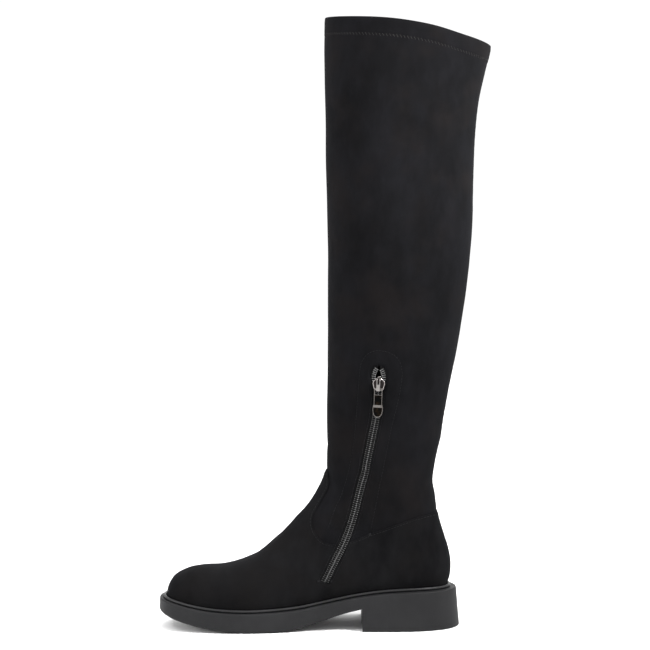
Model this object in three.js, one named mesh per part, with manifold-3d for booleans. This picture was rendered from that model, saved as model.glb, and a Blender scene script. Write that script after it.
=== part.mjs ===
// Over-the-knee boot, right foot: stretch leg, foot part, moulded unit sole, side zip.
// Frame: millimetres, +Z up, toe towards -Y, medial side towards +X, origin on the floor under the heel.
import * as THREE from "three";
import * as BufferGeometryUtils from "three/addons/utils/BufferGeometryUtils.js";
import Module from "manifold-3d";

const wasm = await Module();
wasm.setup();

// ---------------------------------------------------------------- driving dimensions
const WALL = 1.8; // leg and foot material with its lining
const GAP = 0.3; // air between neighbouring pieces
const AROUND = 36; // points round one section of the boot
const NORMAL_STEP = 0.02; // in sections and in radians, for the direction of the skin's normal
const WELD = 1e-4; // points nearer than this are one point
const BISECTIONS = 40; // halvings in the search for the feather line

// Sections of the boot from the toe to above the topline. Each one is a plane that holds the X direction
// and passes through a front point and a back point of the side outline. Ridge and keel are the X of those
// two points, medial and lateral the X of the widest points, wide their place from back (0) to front (1),
// frontPower and backPower the squareness of the two halves (2 is an ellipse).
const SECTION_COLUMNS = [
  "frontY", "frontZ", "backY", "backZ", "ridge", "keel", "medial", "lateral", "wide", "frontPower", "backPower",
];
const SECTIONS = [
  [-221.5, 31.0, -221.5, 21.0, 5.0, 5.0, 8.0, 2.0, 0.45, 2.0, 2.0], // toe tip
  [-220.8, 34.5, -221.0, 18.5, 5.0, 5.0, 13.5, -3.5, 0.45, 2.0, 2.4],
  [-218.8, 39.3, -219.2, 16.5, 5.0, 5.0, 19.5, -9.5, 0.45, 2.0, 2.8],
  [-215.0, 44.8, -215.4, 15.0, 5.0, 5.0, 26.0, -17.0, 0.45, 2.1, 3.2],
  [-208.6, 48.9, -209.0, 13.5, 5.0, 4.5, 31.5, -24.0, 0.45, 2.1, 3.4],
  [-199.0, 52.2, -199.0, 12.0, 5.0, 4.0, 36.3, -30.5, 0.45, 2.1, 3.5], // toe box
  [-186.0, 53.8, -186.0, 10.5, 5.0, 3.0, 38.8, -35.4, 0.45, 2.1, 3.5],
  [-170.0, 54.8, -170.0, 9.0, 5.5, 1.0, 40.6, -40.0, 0.44, 2.1, 3.5],
  [-152.0, 60.0, -151.0, 8.5, 6.0, -1.0, 41.2, -43.8, 0.43, 2.05, 3.5], // inner ball
  [-136.0, 68.5, -133.0, 8.5, 6.5, -3.0, 39.8, -45.4, 0.41, 2.0, 3.4], // outer ball
  [-122.0, 80.3, -115.0, 9.0, 6.5, -4.0, 37.2, -45.0, 0.39, 2.0, 3.2],
  [-108.5, 93.6, -96.0, 11.0, 6.0, -4.5, 34.6, -43.0, 0.38, 2.0, 3.0], // instep
  [-97.5, 105.4, -75.0, 14.0, 5.0, -4.0, 33.2, -40.2, 0.39, 2.0, 2.8],
  [-89.3, 116.6, -52.0, 17.0, 4.0, -3.0, 33.3, -38.5, 0.41, 2.0, 2.7], // waist
  [-83.4, 127.0, -28.0, 19.0, 3.0, -2.0, 33.6, -37.0, 0.43, 2.05, 2.6],
  [-79.6, 135.4, -6.0, 20.0, 2.0, -1.0, 34.1, -36.3, 0.44, 2.1, 2.5],
  [-77.2, 143.0, 14.0, 23.0, 1.0, 0.0, 34.5, -36.0, 0.45, 2.1, 2.4], // heel seat
  [-76.7, 150.0, 27.8, 30.5, 1.0, 0.0, 34.7, -35.9, 0.46, 2.15, 2.3],
  [-76.6, 157.0, 34.4, 43.0, 1.0, 0.0, 34.8, -35.8, 0.47, 2.15, 2.2],
  [-76.4, 164.0, 35.6, 57.0, 1.0, 0.0, 34.8, -35.8, 0.48, 2.15, 2.2], // heel back
  [-76.3, 172.0, 33.5, 70.0, 1.0, 0.0, 34.9, -35.9, 0.48, 2.15, 2.2],
  [-76.4, 181.0, 29.2, 84.5, 1.0, 0.0, 35.2, -36.2, 0.49, 2.15, 2.2],
  [-76.6, 192.0, 24.9, 100.0, 1.0, 0.0, 35.7, -36.7, 0.49, 2.15, 2.2],
  [-76.8, 204.5, 21.7, 116.0, 1.0, 0.0, 36.8, -37.8, 0.49, 2.15, 2.2],
  [-76.7, 219.0, 19.1, 131.5, 1.0, 0.0, 38.3, -39.6, 0.5, 2.15, 2.2], // ankle hollow
  [-76.3, 236.0, 21.5, 149.0, 0.8, 0.0, 40.6, -42.0, 0.5, 2.15, 2.2],
  [-76.0, 256.0, 26.2, 173.0, 0.6, 0.0, 43.6, -45.2, 0.5, 2.15, 2.2],
  [-75.8, 280.0, 31.8, 205.0, 0.4, 0.0, 46.8, -48.6, 0.5, 2.15, 2.2],
  [-75.7, 308.0, 39.4, 246.0, 0.2, 0.0, 49.6, -51.6, 0.5, 2.15, 2.2],
  [-76.0, 340.0, 47.6, 296.0, 0.0, 0.0, 51.4, -53.4, 0.5, 2.15, 2.2], // calf
  [-76.6, 378.0, 53.0, 346.0, 0.0, 0.0, 52.2, -54.0, 0.5, 2.15, 2.2],
  [-77.4, 420.0, 54.6, 394.0, 0.0, 0.0, 52.4, -54.0, 0.5, 2.15, 2.2],
  [-78.0, 458.0, 56.2, 436.0, 0.0, 0.0, 52.6, -54.0, 0.5, 2.15, 2.2], // below the knee
  [-78.6, 492.0, 59.3, 473.0, 0.0, 0.0, 53.0, -54.2, 0.5, 2.15, 2.2],
  [-78.9, 517.0, 64.6, 499.0, 0.0, 0.0, 53.4, -54.4, 0.5, 2.15, 2.2],
  [-78.3, 537.0, 69.0, 517.0, 0.0, 0.0, 53.7, -54.6, 0.5, 2.15, 2.2], // thigh
  [-77.4, 556.0, 70.4, 536.0, 0.0, 0.0, 53.9, -54.8, 0.5, 2.15, 2.2],
];

// Lines of the side view, as [Y, Z] points from front to back.
const TOPLINE = [
  [-90, 547.6], [-65, 547.0], [-30, 545.2], [-7, 542.8], [16, 538.4], [40, 531.6], [60, 525.8], [80, 518.5],
];
const SEAM = [
  [-95, 141.5], [-78, 141.5], [-75.6, 138], [-75.2, 128.5], [-79, 120.5], [-85, 110], [-88.8, 103], [-89.9, 97],
  [-88.6, 90.5], [-83.5, 82.8], [-77, 79], [-66, 78], [-54, 81], [-38, 87.6], [-20, 94], [-4, 99.8], [8, 103],
  [24, 104.2], [45, 104.2],
];
const LEDGE = [
  [-240, 28.4], [-227, 26.8], [-212, 24.3], [-200, 22], [-184, 19.4], [-168, 18], [-150, 17.4], [-134, 17.6],
  [-118, 18.3], [-101, 19.8], [-86, 22.6], [-72, 25.6], [-58, 28.6], [-46, 30.8], [-28, 33.2], [-11, 34.4],
  [12, 35], [60, 35],
];
const TREAD = [
  [-245, 18.2], [-229, 14.6], [-212, 9.8], [-195, 5.8], [-180, 2.8], [-168, 1.5], [-155, 0.7], [-143, 0],
  [-118, 0], [-106, 1.8], [-93, 5.4], [-77, 11], [-60, 16.6], [-44.8, 20.4],
];
const BREAST_Y = -44.8; // front face of the heel block
const ZIP = [
  [-78.6, 44], [-75.2, 50.9], [-69.1, 63.7], [-62.7, 76.5], [-57.2, 90.2], [-52.6, 104.8], [-49, 119.5],
  [-45.6, 133.3], [-43.4, 140.6], [-40.8, 154.6], [-38.2, 167.5], [-35.6, 180.6], [-33.5, 191.6], [-31.9, 206],
  [-31.1, 220],
];

const FEATHER_POINTS = 60; // points of the closed line where the upper meets the sole
const FEATHER_STEPS = 8; // steps from one section to the next along that line
const SOLE = { toe: 6.5, heel: 8.2, toeFlare: 1.4, heelFlare: 3.2, from: -150, to: 0, below: -4, above: 4 };
const WELT = { inner: 0.3, width: 3.0, height: 3.0, sides: 8 };
const INSOLE = { thickness: 4, clearance: 1.5 };
const FOOT_REGION = { toeY: -240, heelZ: 50 }; // outer corners of the foot part's side view
const TAPE = { halfWidth: 12, thickness: 1.0, top: 250, bottom: 37, lead: 3 };
const SLOT = { half: 4.4, headHalf: 7.2, headFrom: 206, headZ: 232.8, archSteps: 8 };
const CHAIN = { half: 3.0, depth: 0.25, thickness: 1.5, top: 218 };
const CHAIN_ROW = [[1.5, 215], [2.4, 220], [4.3, 227], [3.9, 234]]; // open rows: [away from the middle, Z]
const SLIDER = { y: -30.4, z: 224.4, length: 12.6, width: 11.0, nose: 4.2, thickness: 1.5, lift: 0.5, lean: 3 };
// Right half of the slider's plate from its nose to its apex, as [handle, end] in half widths and half lengths.
const SHIELD = [[0.75, -1, 0.8, -0.7], [0.9, -0.38, 1, -0.05], [1, 0.3, 0.85, 0.5], [0.45, 0.95, 0, 1]];
// Arch over the slider. Its shares are of the half length and of the height, where its corners begin.
const BRIDGE = {
  width: 4.4, length: 12.2, height: 3.9, bar: 1.1, drop: 0.6,
  tailRise: 0.55, tailFlat: 0.72, noseFlat: 0.55, noseRise: 0.95, innerShare: 0.5,
};
const TAB = {
  thickness: 1.3, neck: 8.2, waist: 7.6, belly: 9.2, length: 25.4, waistAt: 14.2, bellyAt: 18.2,
  holeWidth: 5.6, holeLength: 4.3, bar: 1.3, axisAlong: -4.7, axisLift: 1.4, lean: 2, shoulder: 1, tipHandle: 2,
};
const SPAN = 100; // wider than the boot on either side
const MEDIAL_FROM = 8; // the zip's cuts begin here and run out over the medial side

// ---------------------------------------------------------------- solids and surfaces
function toManifold(geometry) {
  const bare = geometry.clone();
  bare.deleteAttribute("normal");
  bare.deleteAttribute("uv");
  const merged = BufferGeometryUtils.mergeVertices(bare, WELD);
  return new wasm.Manifold(new wasm.Mesh({
    numProp: 3,
    vertProperties: new Float32Array(merged.attributes.position.array),
    triVerts: new Uint32Array(merged.index.array),
  }));
}

function toGeometry(solid) {
  const mesh = solid.getMesh();
  const geometry = new THREE.BufferGeometry();
  geometry.setAttribute("position", new THREE.BufferAttribute(new Float32Array(mesh.vertProperties), 3));
  geometry.setIndex(new THREE.BufferAttribute(new Uint32Array(mesh.triVerts), 1));
  return geometry;
}

// Triangles of a closed body, turned so that their faces point out.
function outwardGeometry(points, index) {
  let volume = 0;
  for (let i = 0; i < index.length; i += 3) {
    volume += points[index[i]].dot(points[index[i + 1]].clone().cross(points[index[i + 2]]));
  }
  const turned = volume < 0 ? index.map((_, i) => index[i - (i % 3) + 2 - (i % 3)]) : index;
  const geometry = new THREE.BufferGeometry();
  const positions = points.flatMap((point) => [point.x, point.y, point.z]);
  geometry.setAttribute("position", new THREE.Float32BufferAttribute(positions, 3));
  geometry.setIndex(turned);
  return geometry;
}

// A closed body through rings of equal count, with a fan at each end.
function loft(rings) {
  const count = rings[0].length;
  const vertices = rings.flat();
  const ends = [rings[0], rings[rings.length - 1]].map((ring) => {
    const centre = new THREE.Vector3();
    ring.forEach((point) => centre.add(point));
    return centre.divideScalar(count);
  });
  const firstEnd = vertices.length;
  const index = [];
  for (let r = 0; r + 1 < rings.length; r += 1) {
    for (let i = 0; i < count; i += 1) {
      const a = r * count + i;
      const b = r * count + (i + 1) % count;
      index.push(a, b, b + count, a, b + count, a + count);
    }
  }
  const last = (rings.length - 1) * count;
  for (let i = 0; i < count; i += 1) {
    const next = (i + 1) % count;
    index.push(firstEnd, next, i, firstEnd + 1, last + i, last + next);
  }
  return outwardGeometry([...vertices, ...ends], index);
}

// A closed ring of sections of equal count, such as a bead that runs round and meets itself.
function closedSweep(sections) {
  const count = sections[0].length;
  const index = [];
  for (let r = 0; r < sections.length; r += 1) {
    const next = (r + 1) % sections.length;
    for (let i = 0; i < count; i += 1) {
      const a = r * count + i;
      const b = r * count + (i + 1) % count;
      const c = next * count + (i + 1) % count;
      const d = next * count + i;
      index.push(a, b, c, a, c, d);
    }
  }
  return outwardGeometry(sections.flat(), index);
}

function smooth(before, from, to, after, t) {
  const slopeFrom = (to - before) / 2;
  const slopeTo = (after - from) / 2;
  const t2 = t * t;
  const t3 = t2 * t;
  return (2 * t3 - 3 * t2 + 1) * from + (t3 - 2 * t2 + t) * slopeFrom
    + (3 * t2 - 2 * t3) * to + (t3 - t2) * slopeTo;
}

function sectionAt(v) {
  const last = SECTIONS.length - 1;
  const row = Math.min(Math.floor(v), last - 1);
  const rows = [row - 1, row, row + 1, row + 2].map((r) => SECTIONS[Math.min(Math.max(r, 0), last)]);
  const section = {};
  SECTION_COLUMNS.forEach((name, column) => {
    section[name] = smooth(...rows.map((values) => values[column]), v - row);
  });
  return section;
}

// A point of the outer skin: v counts sections, angle runs from the front over the medial side.
function skin(v, angle) {
  const s = sectionAt(v);
  const along = Math.cos(angle);
  const across = Math.sin(angle);
  const power = 2 / (along >= 0 ? s.frontPower : s.backPower);
  const reach = Math.sign(along) * Math.abs(along) ** power;
  const place = s.wide + reach * (along >= 0 ? 1 - s.wide : s.wide);
  const centre = s.keel + (s.ridge - s.keel) * place;
  const side = across >= 0 ? s.medial : s.lateral;
  const x = centre + (side - centre) * Math.abs(across) ** power;
  return new THREE.Vector3(
    x,
    s.backY + (s.frontY - s.backY) * place,
    s.backZ + (s.frontZ - s.backZ) * place,
  );
}

// The skin moved inwards along its own normal.
function skinAtDepth(v, angle, depth) {
  const last = SECTIONS.length - 1;
  const low = Math.max(v - NORMAL_STEP, 0);
  const high = Math.min(v + NORMAL_STEP, last);
  const up = skin(high, angle).sub(skin(low, angle));
  const round = skin(v, angle + NORMAL_STEP).sub(skin(v, angle - NORMAL_STEP));
  const inward = up.cross(round).normalize();
  return skin(v, angle).addScaledVector(inward, depth);
}

function skinSolid(depth) {
  const rings = SECTIONS.map((_, row) => {
    const ring = [];
    for (let i = 0; i < AROUND; i += 1) {
      ring.push(skinAtDepth(row, i * 2 * Math.PI / AROUND, depth));
    }
    return ring;
  });
  return toManifold(loft(rings));
}

function lineAt(line, y) {
  const next = line.findIndex(([lineY]) => lineY >= y);
  const [y1, z1] = line[next];
  const [y0, z0] = line[Math.max(next - 1, 0)];
  return y1 === y0 ? z1 : z0 + (z1 - z0) * (y - y0) / (y1 - y0);
}

// A side-view outline of [Y, Z] points made solid from x0 to x1.
function sideRegion(points, x0, x1) {
  const shape = new THREE.Shape(points.map(([y, z]) => new THREE.Vector2(y, z)));
  const geometry = new THREE.ExtrudeGeometry(shape, { depth: x1 - x0, bevelEnabled: false, steps: 1 });
  geometry.applyMatrix4(new THREE.Matrix4().makeBasis(
    new THREE.Vector3(0, 1, 0),
    new THREE.Vector3(0, 0, 1),
    new THREE.Vector3(1, 0, 0),
  ));
  geometry.translate(x0, 0, 0);
  return toManifold(geometry);
}

function shiftLine(line, distances) {
  return line.map(([y, z], i) => {
    const [yBefore, zBefore] = line[Math.max(i - 1, 0)];
    const [yAfter, zAfter] = line[Math.min(i + 1, line.length - 1)];
    const length = Math.hypot(yAfter - yBefore, zAfter - zBefore);
    const distance = Array.isArray(distances) ? distances[i] : distances;
    return [y - distance * (zAfter - zBefore) / length, z + distance * (yAfter - yBefore) / length];
  });
}

function band(line, half) {
  const minus = Array.isArray(half) ? half.map((value) => -value) : -half;
  return [...shiftLine(line, minus), ...shiftLine(line, half).reverse()];
}

// ---------------------------------------------------------------- feather line and the pieces on it
function featherPoint(v, side, rise) {
  let top = 0;
  let bottom = Math.PI;
  for (let i = 0; i < BISECTIONS; i += 1) {
    const middle = (top + bottom) / 2;
    const point = skin(v, side * middle);
    if (point.z > lineAt(LEDGE, point.y) + rise) {
      top = middle;
    } else {
      bottom = middle;
    }
  }
  return skin(v, side * (top + bottom) / 2);
}

// The closed line of the outer skin at a rise above the sole's ledge, from the toe over the medial side.
function featherLoop(rise) {
  const medial = [];
  const lateral = [];
  const heelRow = SECTIONS.findIndex(([, , backY, backZ]) => backY > 0 && backZ > lineAt(LEDGE, backY) + rise);
  let heel = 0;
  for (let i = 0; i <= heelRow * FEATHER_STEPS; i += 1) {
    const s = sectionAt(i / FEATHER_STEPS);
    if (s.backZ < lineAt(LEDGE, s.backY) + rise) {
      heel = i / FEATHER_STEPS;
      medial.push(featherPoint(heel, 1, rise));
      lateral.push(featherPoint(heel, -1, rise));
    }
  }
  medial.push(skin(heel + 1 / (2 * FEATHER_STEPS), Math.PI));
  const points = [...medial, ...lateral.reverse()].map((point) => new THREE.Vector3(point.x, point.y, 0));
  const curve = new THREE.CatmullRomCurve3(points, true, "centripetal");
  const loop = curve.getSpacedPoints(FEATHER_POINTS);
  loop.pop();
  return loop;
}

function offsetLoop(loop, distance, height) {
  const count = loop.length;
  return loop.map((point, i) => {
    const along = loop[(i + 1) % count].clone().sub(loop[(i + count - 1) % count]).normalize();
    const far = typeof distance === "function" ? distance(point.y) : distance;
    const x = point.x + along.y * far;
    const y = point.y - along.x * far;
    return new THREE.Vector3(x, y, height(y));
  });
}

// The top line of the ledge raised by a height, over the Y range of a piece.
function ledgeLine(rise) {
  return LEDGE.map(([y, z]) => [y, z + rise]);
}

function makeSole(loop) {
  const between = (toe, heel, y) => {
    return THREE.MathUtils.lerp(toe, heel, THREE.MathUtils.smoothstep(y, SOLE.from, SOLE.to));
  };
  const edge = (y) => between(SOLE.toe, SOLE.heel, y);
  const foot = (y) => edge(y) + between(SOLE.toeFlare, SOLE.heelFlare, y);
  const block = loft([
    offsetLoop(loop, foot, () => SOLE.below),
    offsetLoop(loop, edge, (y) => lineAt(LEDGE, y)),
    offsetLoop(loop, edge, (y) => lineAt(LEDGE, y) + SOLE.above),
  ]);
  const under = [...TREAD, [BREAST_Y, 0], [LEDGE[LEDGE.length - 1][0], 0]];
  return toManifold(block).intersect(sideRegion([...under, ...LEDGE.slice().reverse()], -SPAN, SPAN));
}

function makeWelt(loop) {
  const middle = WELT.inner + WELT.width / 2;
  const rise = GAP + WELT.height / 2;
  const sections = loop.map((point, i) => {
    const section = [];
    for (let k = 0; k < WELT.sides; k += 1) {
      const angle = (k + 0.5) * 2 * Math.PI / WELT.sides;
      const far = middle + Math.cos(angle) * WELT.width / 2;
      const placed = offsetLoop(loop, far, () => 0)[i];
      placed.z = lineAt(LEDGE, placed.y) + rise + Math.sin(angle) * WELT.height / 2;
      section.push(placed);
    }
    return section;
  });
  return toManifold(closedSweep(sections));
}

function makeInsole(loop) {
  const inset = -(WALL + INSOLE.clearance);
  const block = loft([0, 2 * INSOLE.thickness + LEDGE[LEDGE.length - 1][1]].map(
    (height) => offsetLoop(loop, inset, () => height),
  ));
  const under = ledgeLine(GAP);
  const over = ledgeLine(GAP + INSOLE.thickness);
  return toManifold(block).intersect(sideRegion([...under, ...over.reverse()], -SPAN, SPAN));
}

// ---------------------------------------------------------------- foot part, leg and zip
function slotHole() {
  const half = ZIP.map(([, z]) => {
    const spread = THREE.MathUtils.smoothstep(z, SLOT.headFrom, ZIP[ZIP.length - 1][1]);
    return THREE.MathUtils.lerp(SLOT.half, SLOT.headHalf, spread);
  });
  const shaftLine = band(ZIP, half);
  const headY = ZIP[ZIP.length - 1][0];
  const arch = [];
  for (let i = 0; i <= SLOT.archSteps; i += 1) {
    const angle = i * Math.PI / SLOT.archSteps;
    arch.push([headY + Math.cos(angle) * SLOT.headHalf, SLOT.headZ + Math.sin(angle) * SLOT.headHalf]);
  }
  const outline = [...shaftLine.slice(0, ZIP.length), ...arch, ...shaftLine.slice(ZIP.length)];
  return sideRegion(outline, MEDIAL_FROM, SPAN);
}

function makeFootAndLeg(slot) {
  const shell = skinSolid(0).subtract(skinSolid(WALL)).subtract(slot);
  const seamFront = SEAM[0][1];
  const seamBack = SEAM[SEAM.length - 1][0];
  const footRegion = [
    ...ledgeLine(GAP), [seamBack, FOOT_REGION.heelZ], ...SEAM.slice().reverse(), [FOOT_REGION.toeY, seamFront],
  ];
  const legSeam = shiftLine(SEAM, GAP);
  const legRegion = [...legSeam, ...TOPLINE.slice().reverse()];
  return {
    foot: shell.intersect(sideRegion(footRegion, -SPAN, SPAN)),
    leg: shell.intersect(sideRegion(legRegion, -SPAN, SPAN)),
  };
}

function makeTape() {
  const depth = WALL + GAP;
  const layer = skinSolid(depth).subtract(skinSolid(depth + TAPE.thickness));
  const [[startY], ...others] = ZIP;
  const line = [[startY - TAPE.lead, TAPE.bottom], ...others, [ZIP[ZIP.length - 1][0], TAPE.top]];
  return layer.intersect(sideRegion(band(line, TAPE.halfWidth), MEDIAL_FROM, SPAN));
}

function makeChain() {
  const layer = skinSolid(CHAIN.depth).subtract(skinSolid(CHAIN.depth + CHAIN.thickness));
  const closed = ZIP.slice(0, -1).concat([[ZIP[ZIP.length - 1][0], CHAIN.top]]);
  let region = sideRegion(band(closed, CHAIN.half), MEDIAL_FROM, SPAN);
  for (const side of [-1, 1]) {
    const row = CHAIN_ROW.map(([away, z]) => [ZIP[ZIP.length - 1][0] + side * away, z]);
    region = region.add(sideRegion(band(row, CHAIN.half / 2), MEDIAL_FROM, SPAN));
  }
  return layer.intersect(region);
}

// The frame of the slider: x across the zip towards the heel, y up the zip, z out of the leg.
function sliderFrame() {
  const outer = new THREE.Mesh(toGeometry(skinSolid(0)));
  const hitAt = (y, z) => {
    const ray = new THREE.Raycaster(new THREE.Vector3(SPAN, y, z), new THREE.Vector3(-1, 0, 0));
    return ray.intersectObject(outer)[0].point;
  };
  const reach = SLIDER.width / 2;
  const across = hitAt(SLIDER.y + reach, SLIDER.z).sub(hitAt(SLIDER.y - reach, SLIDER.z)).normalize();
  const up = hitAt(SLIDER.y, SLIDER.z + reach).sub(hitAt(SLIDER.y, SLIDER.z - reach)).normalize();
  const out = across.clone().cross(up).normalize();
  across.applyAxisAngle(out, -THREE.MathUtils.degToRad(SLIDER.lean));
  return { across, up: out.clone().cross(across), out, origin: hitAt(SLIDER.y, SLIDER.z) };
}

function extrudeShape(shape, depth, from) {
  const geometry = new THREE.ExtrudeGeometry(shape, { depth, bevelEnabled: false, curveSegments: 6 });
  geometry.translate(0, 0, from);
  return geometry;
}

function makeSlider() {
  const top = SLIDER.length / 2;
  const wide = SLIDER.width / 2;
  const body = new THREE.Shape();
  body.moveTo(-SLIDER.nose / 2, -top);
  body.lineTo(SLIDER.nose / 2, -top);
  for (const [handleX, handleY, x, y] of SHIELD) {
    body.quadraticCurveTo(wide * handleX, top * handleY, wide * x, top * y);
  }
  SHIELD.slice().reverse().forEach(([handleX, handleY], i) => {
    const [, , x, y] = SHIELD[SHIELD.length - 2 - i] || [null, null, SLIDER.nose / 2 / wide, -1];
    body.quadraticCurveTo(-wide * handleX, top * handleY, -wide * x, top * y);
  });
  const plate = toManifold(extrudeShape(body, SLIDER.thickness, 0));
  return plate.add(toManifold(bridgeGeometry()));
}

// The bridge is an arch along the zip: its outline in (up, out), extruded across.
function bridgeGeometry() {
  const end = BRIDGE.length / 2;
  const inner = end - BRIDGE.bar;
  const crown = BRIDGE.height;
  const under = crown - BRIDGE.bar;
  const foot = -SLIDER.thickness / 2;
  const tail = -end * BRIDGE.tailFlat;
  const arch = new THREE.Shape();
  arch.moveTo(-end, foot);
  arch.lineTo(-end, crown * BRIDGE.tailRise);
  arch.quadraticCurveTo(-end, crown, tail, crown);
  arch.lineTo(end * BRIDGE.noseFlat, crown);
  arch.quadraticCurveTo(end, crown * BRIDGE.noseRise, end, foot);
  arch.lineTo(inner, foot);
  arch.quadraticCurveTo(inner, under, end * BRIDGE.innerShare, under);
  arch.lineTo(tail, under);
  arch.quadraticCurveTo(-inner, under, -inner, crown * BRIDGE.innerShare);
  arch.lineTo(-inner, foot);
  arch.closePath();
  const geometry = extrudeShape(arch, BRIDGE.width, -BRIDGE.width / 2);
  geometry.applyMatrix4(new THREE.Matrix4().makeBasis(
    new THREE.Vector3(0, 1, 0),
    new THREE.Vector3(0, 0, 1),
    new THREE.Vector3(1, 0, 0),
  ));
  geometry.translate(0, -BRIDGE.drop, SLIDER.thickness);
  return geometry;
}

// The pull tab hangs down from its bar, which lies on the X axis of its own frame.
function makeTab() {
  const bar = TAB.bar / 2;
  const [neck, waist, belly] = [TAB.neck / 2, TAB.waist / 2, TAB.belly / 2];
  const shoulder = -TAB.waistAt - TAB.shoulder;
  const outline = new THREE.Shape();
  outline.moveTo(-neck + bar, bar);
  outline.lineTo(neck - bar, bar);
  outline.quadraticCurveTo(neck, bar, neck, -bar);
  outline.lineTo(waist, -TAB.waistAt);
  outline.quadraticCurveTo(belly, shoulder, belly, -TAB.bellyAt);
  outline.bezierCurveTo(belly, TAB.tipHandle - TAB.length, belly / 2, -TAB.length, 0, -TAB.length);
  outline.bezierCurveTo(-belly / 2, -TAB.length, -belly, TAB.tipHandle - TAB.length, -belly, -TAB.bellyAt);
  outline.quadraticCurveTo(-belly, shoulder, -waist, -TAB.waistAt);
  outline.lineTo(-neck, -bar);
  outline.quadraticCurveTo(-neck, bar, -neck + bar, bar);
  const hole = new THREE.Path();
  const holeHalf = TAB.holeWidth / 2;
  hole.moveTo(-holeHalf, -bar);
  hole.lineTo(-holeHalf, -bar - TAB.holeLength);
  hole.lineTo(holeHalf, -bar - TAB.holeLength);
  hole.lineTo(holeHalf, -bar);
  hole.closePath();
  outline.holes.push(hole);
  return extrudeShape(outline, TAB.thickness, -TAB.thickness / 2);
}

// ---------------------------------------------------------------- assembly
const FINISHES = {
  suede: { color: 0x222225, roughness: 0.95, metalness: 0 },
  foot: { color: 0x1b1b1d, roughness: 0.95, metalness: 0 },
  rubber: { color: 0x3e3e3f, roughness: 0.6, metalness: 0 },
  lining: { color: 0x1c1b1b, roughness: 0.9, metalness: 0 },
  tape: { color: 0x101012, roughness: 0.9, metalness: 0 },
  coil: { color: 0x3a3a3c, roughness: 0.4, metalness: 0 },
  metal: { color: 0x8d8987, roughness: 0.25, metalness: 1 },
};

function namedMesh(name, geometry, finish) {
  const mesh = new THREE.Mesh(geometry, new THREE.MeshStandardMaterial(FINISHES[finish]));
  mesh.name = name;
  return mesh;
}

function buildBoot() {
  const boot = new THREE.Group();
  const loop = featherLoop(GAP + WELT.height);
  boot.add(namedMesh("sole", toGeometry(makeSole(loop)), "rubber"));
  boot.add(namedMesh("welt", toGeometry(makeWelt(loop)), "rubber"));
  boot.add(namedMesh("insole", toGeometry(makeInsole(featherLoop(GAP))), "lining"));
  const { foot, leg } = makeFootAndLeg(slotHole());
  boot.add(namedMesh("upper", toGeometry(foot), "foot"));
  boot.add(namedMesh("shaft", toGeometry(leg), "suede"));
  boot.add(namedMesh("zip_tape", toGeometry(makeTape()), "tape"));
  boot.add(namedMesh("zip_chain", toGeometry(makeChain()), "coil"));

  const frame = sliderFrame();
  const slider = namedMesh("zip_slider", toGeometry(makeSlider()), "metal");
  slider.quaternion.setFromRotationMatrix(new THREE.Matrix4().makeBasis(frame.across, frame.up, frame.out));
  slider.position.copy(frame.origin).addScaledVector(frame.out, SLIDER.lift);
  boot.add(slider);

  const tab = namedMesh("zip_pull_tab", makeTab(), "metal");
  const hinge = frame.across.clone().setZ(0).normalize();
  const up = new THREE.Vector3(0, 0, 1);
  const out = hinge.clone().cross(up);
  hinge.applyAxisAngle(out, -THREE.MathUtils.degToRad(TAB.lean));
  up.applyAxisAngle(out, -THREE.MathUtils.degToRad(TAB.lean));
  tab.quaternion.setFromRotationMatrix(new THREE.Matrix4().makeBasis(hinge, up, out));
  tab.position.copy(slider.position);
  tab.position.addScaledVector(frame.up, TAB.axisAlong);
  tab.position.addScaledVector(frame.out, SLIDER.thickness + TAB.axisLift);
  boot.add(tab);
  return boot;
}

export default buildBoot();
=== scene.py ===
"""Over-the-knee boot, right foot: faux-suede leg and foot part, side zip, moulded rubber sole.

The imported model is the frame. Shapes are worked out in millimetres in its frame (+Z up, toe towards -Y,
medial side towards +X) and turned into metres when a mesh is made.
"""

from __future__ import annotations

import logging
import math
from dataclasses import dataclass, field
from enum import Enum
from typing import Callable, Sequence

import bmesh
import bpy
import numpy as np
from mathutils import Matrix, Vector
from mathutils.bvhtree import BVHTree

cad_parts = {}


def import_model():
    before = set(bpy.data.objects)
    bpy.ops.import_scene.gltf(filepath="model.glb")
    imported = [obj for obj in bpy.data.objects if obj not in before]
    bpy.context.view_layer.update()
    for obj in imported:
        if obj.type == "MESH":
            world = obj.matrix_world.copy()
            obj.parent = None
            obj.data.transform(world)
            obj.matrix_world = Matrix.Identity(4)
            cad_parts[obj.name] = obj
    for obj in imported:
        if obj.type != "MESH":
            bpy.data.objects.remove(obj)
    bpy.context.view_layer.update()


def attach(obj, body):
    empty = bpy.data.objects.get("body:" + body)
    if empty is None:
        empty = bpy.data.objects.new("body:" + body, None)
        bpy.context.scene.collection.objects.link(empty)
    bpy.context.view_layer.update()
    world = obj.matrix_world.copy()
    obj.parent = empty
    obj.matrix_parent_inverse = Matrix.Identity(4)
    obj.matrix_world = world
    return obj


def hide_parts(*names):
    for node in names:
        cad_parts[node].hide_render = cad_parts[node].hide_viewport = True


LOG = logging.getLogger("boot")
MM = 0.001
SPAN = 100.0  # wider than the boot on either side

Array = np.ndarray
Piece = bpy.types.Object
Material = bpy.types.Material
Socket = bpy.types.NodeSocket
Line = Sequence[Sequence[float]]
Faces = list[tuple[int, ...]]


class Side(Enum):
    """Side of the boot, as the sign of its X."""

    MEDIAL = 1
    LATERAL = -1


class Body(Enum):
    """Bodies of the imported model."""

    BOOT = "boot"
    PULL_TAB = "pull_tab"


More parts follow.
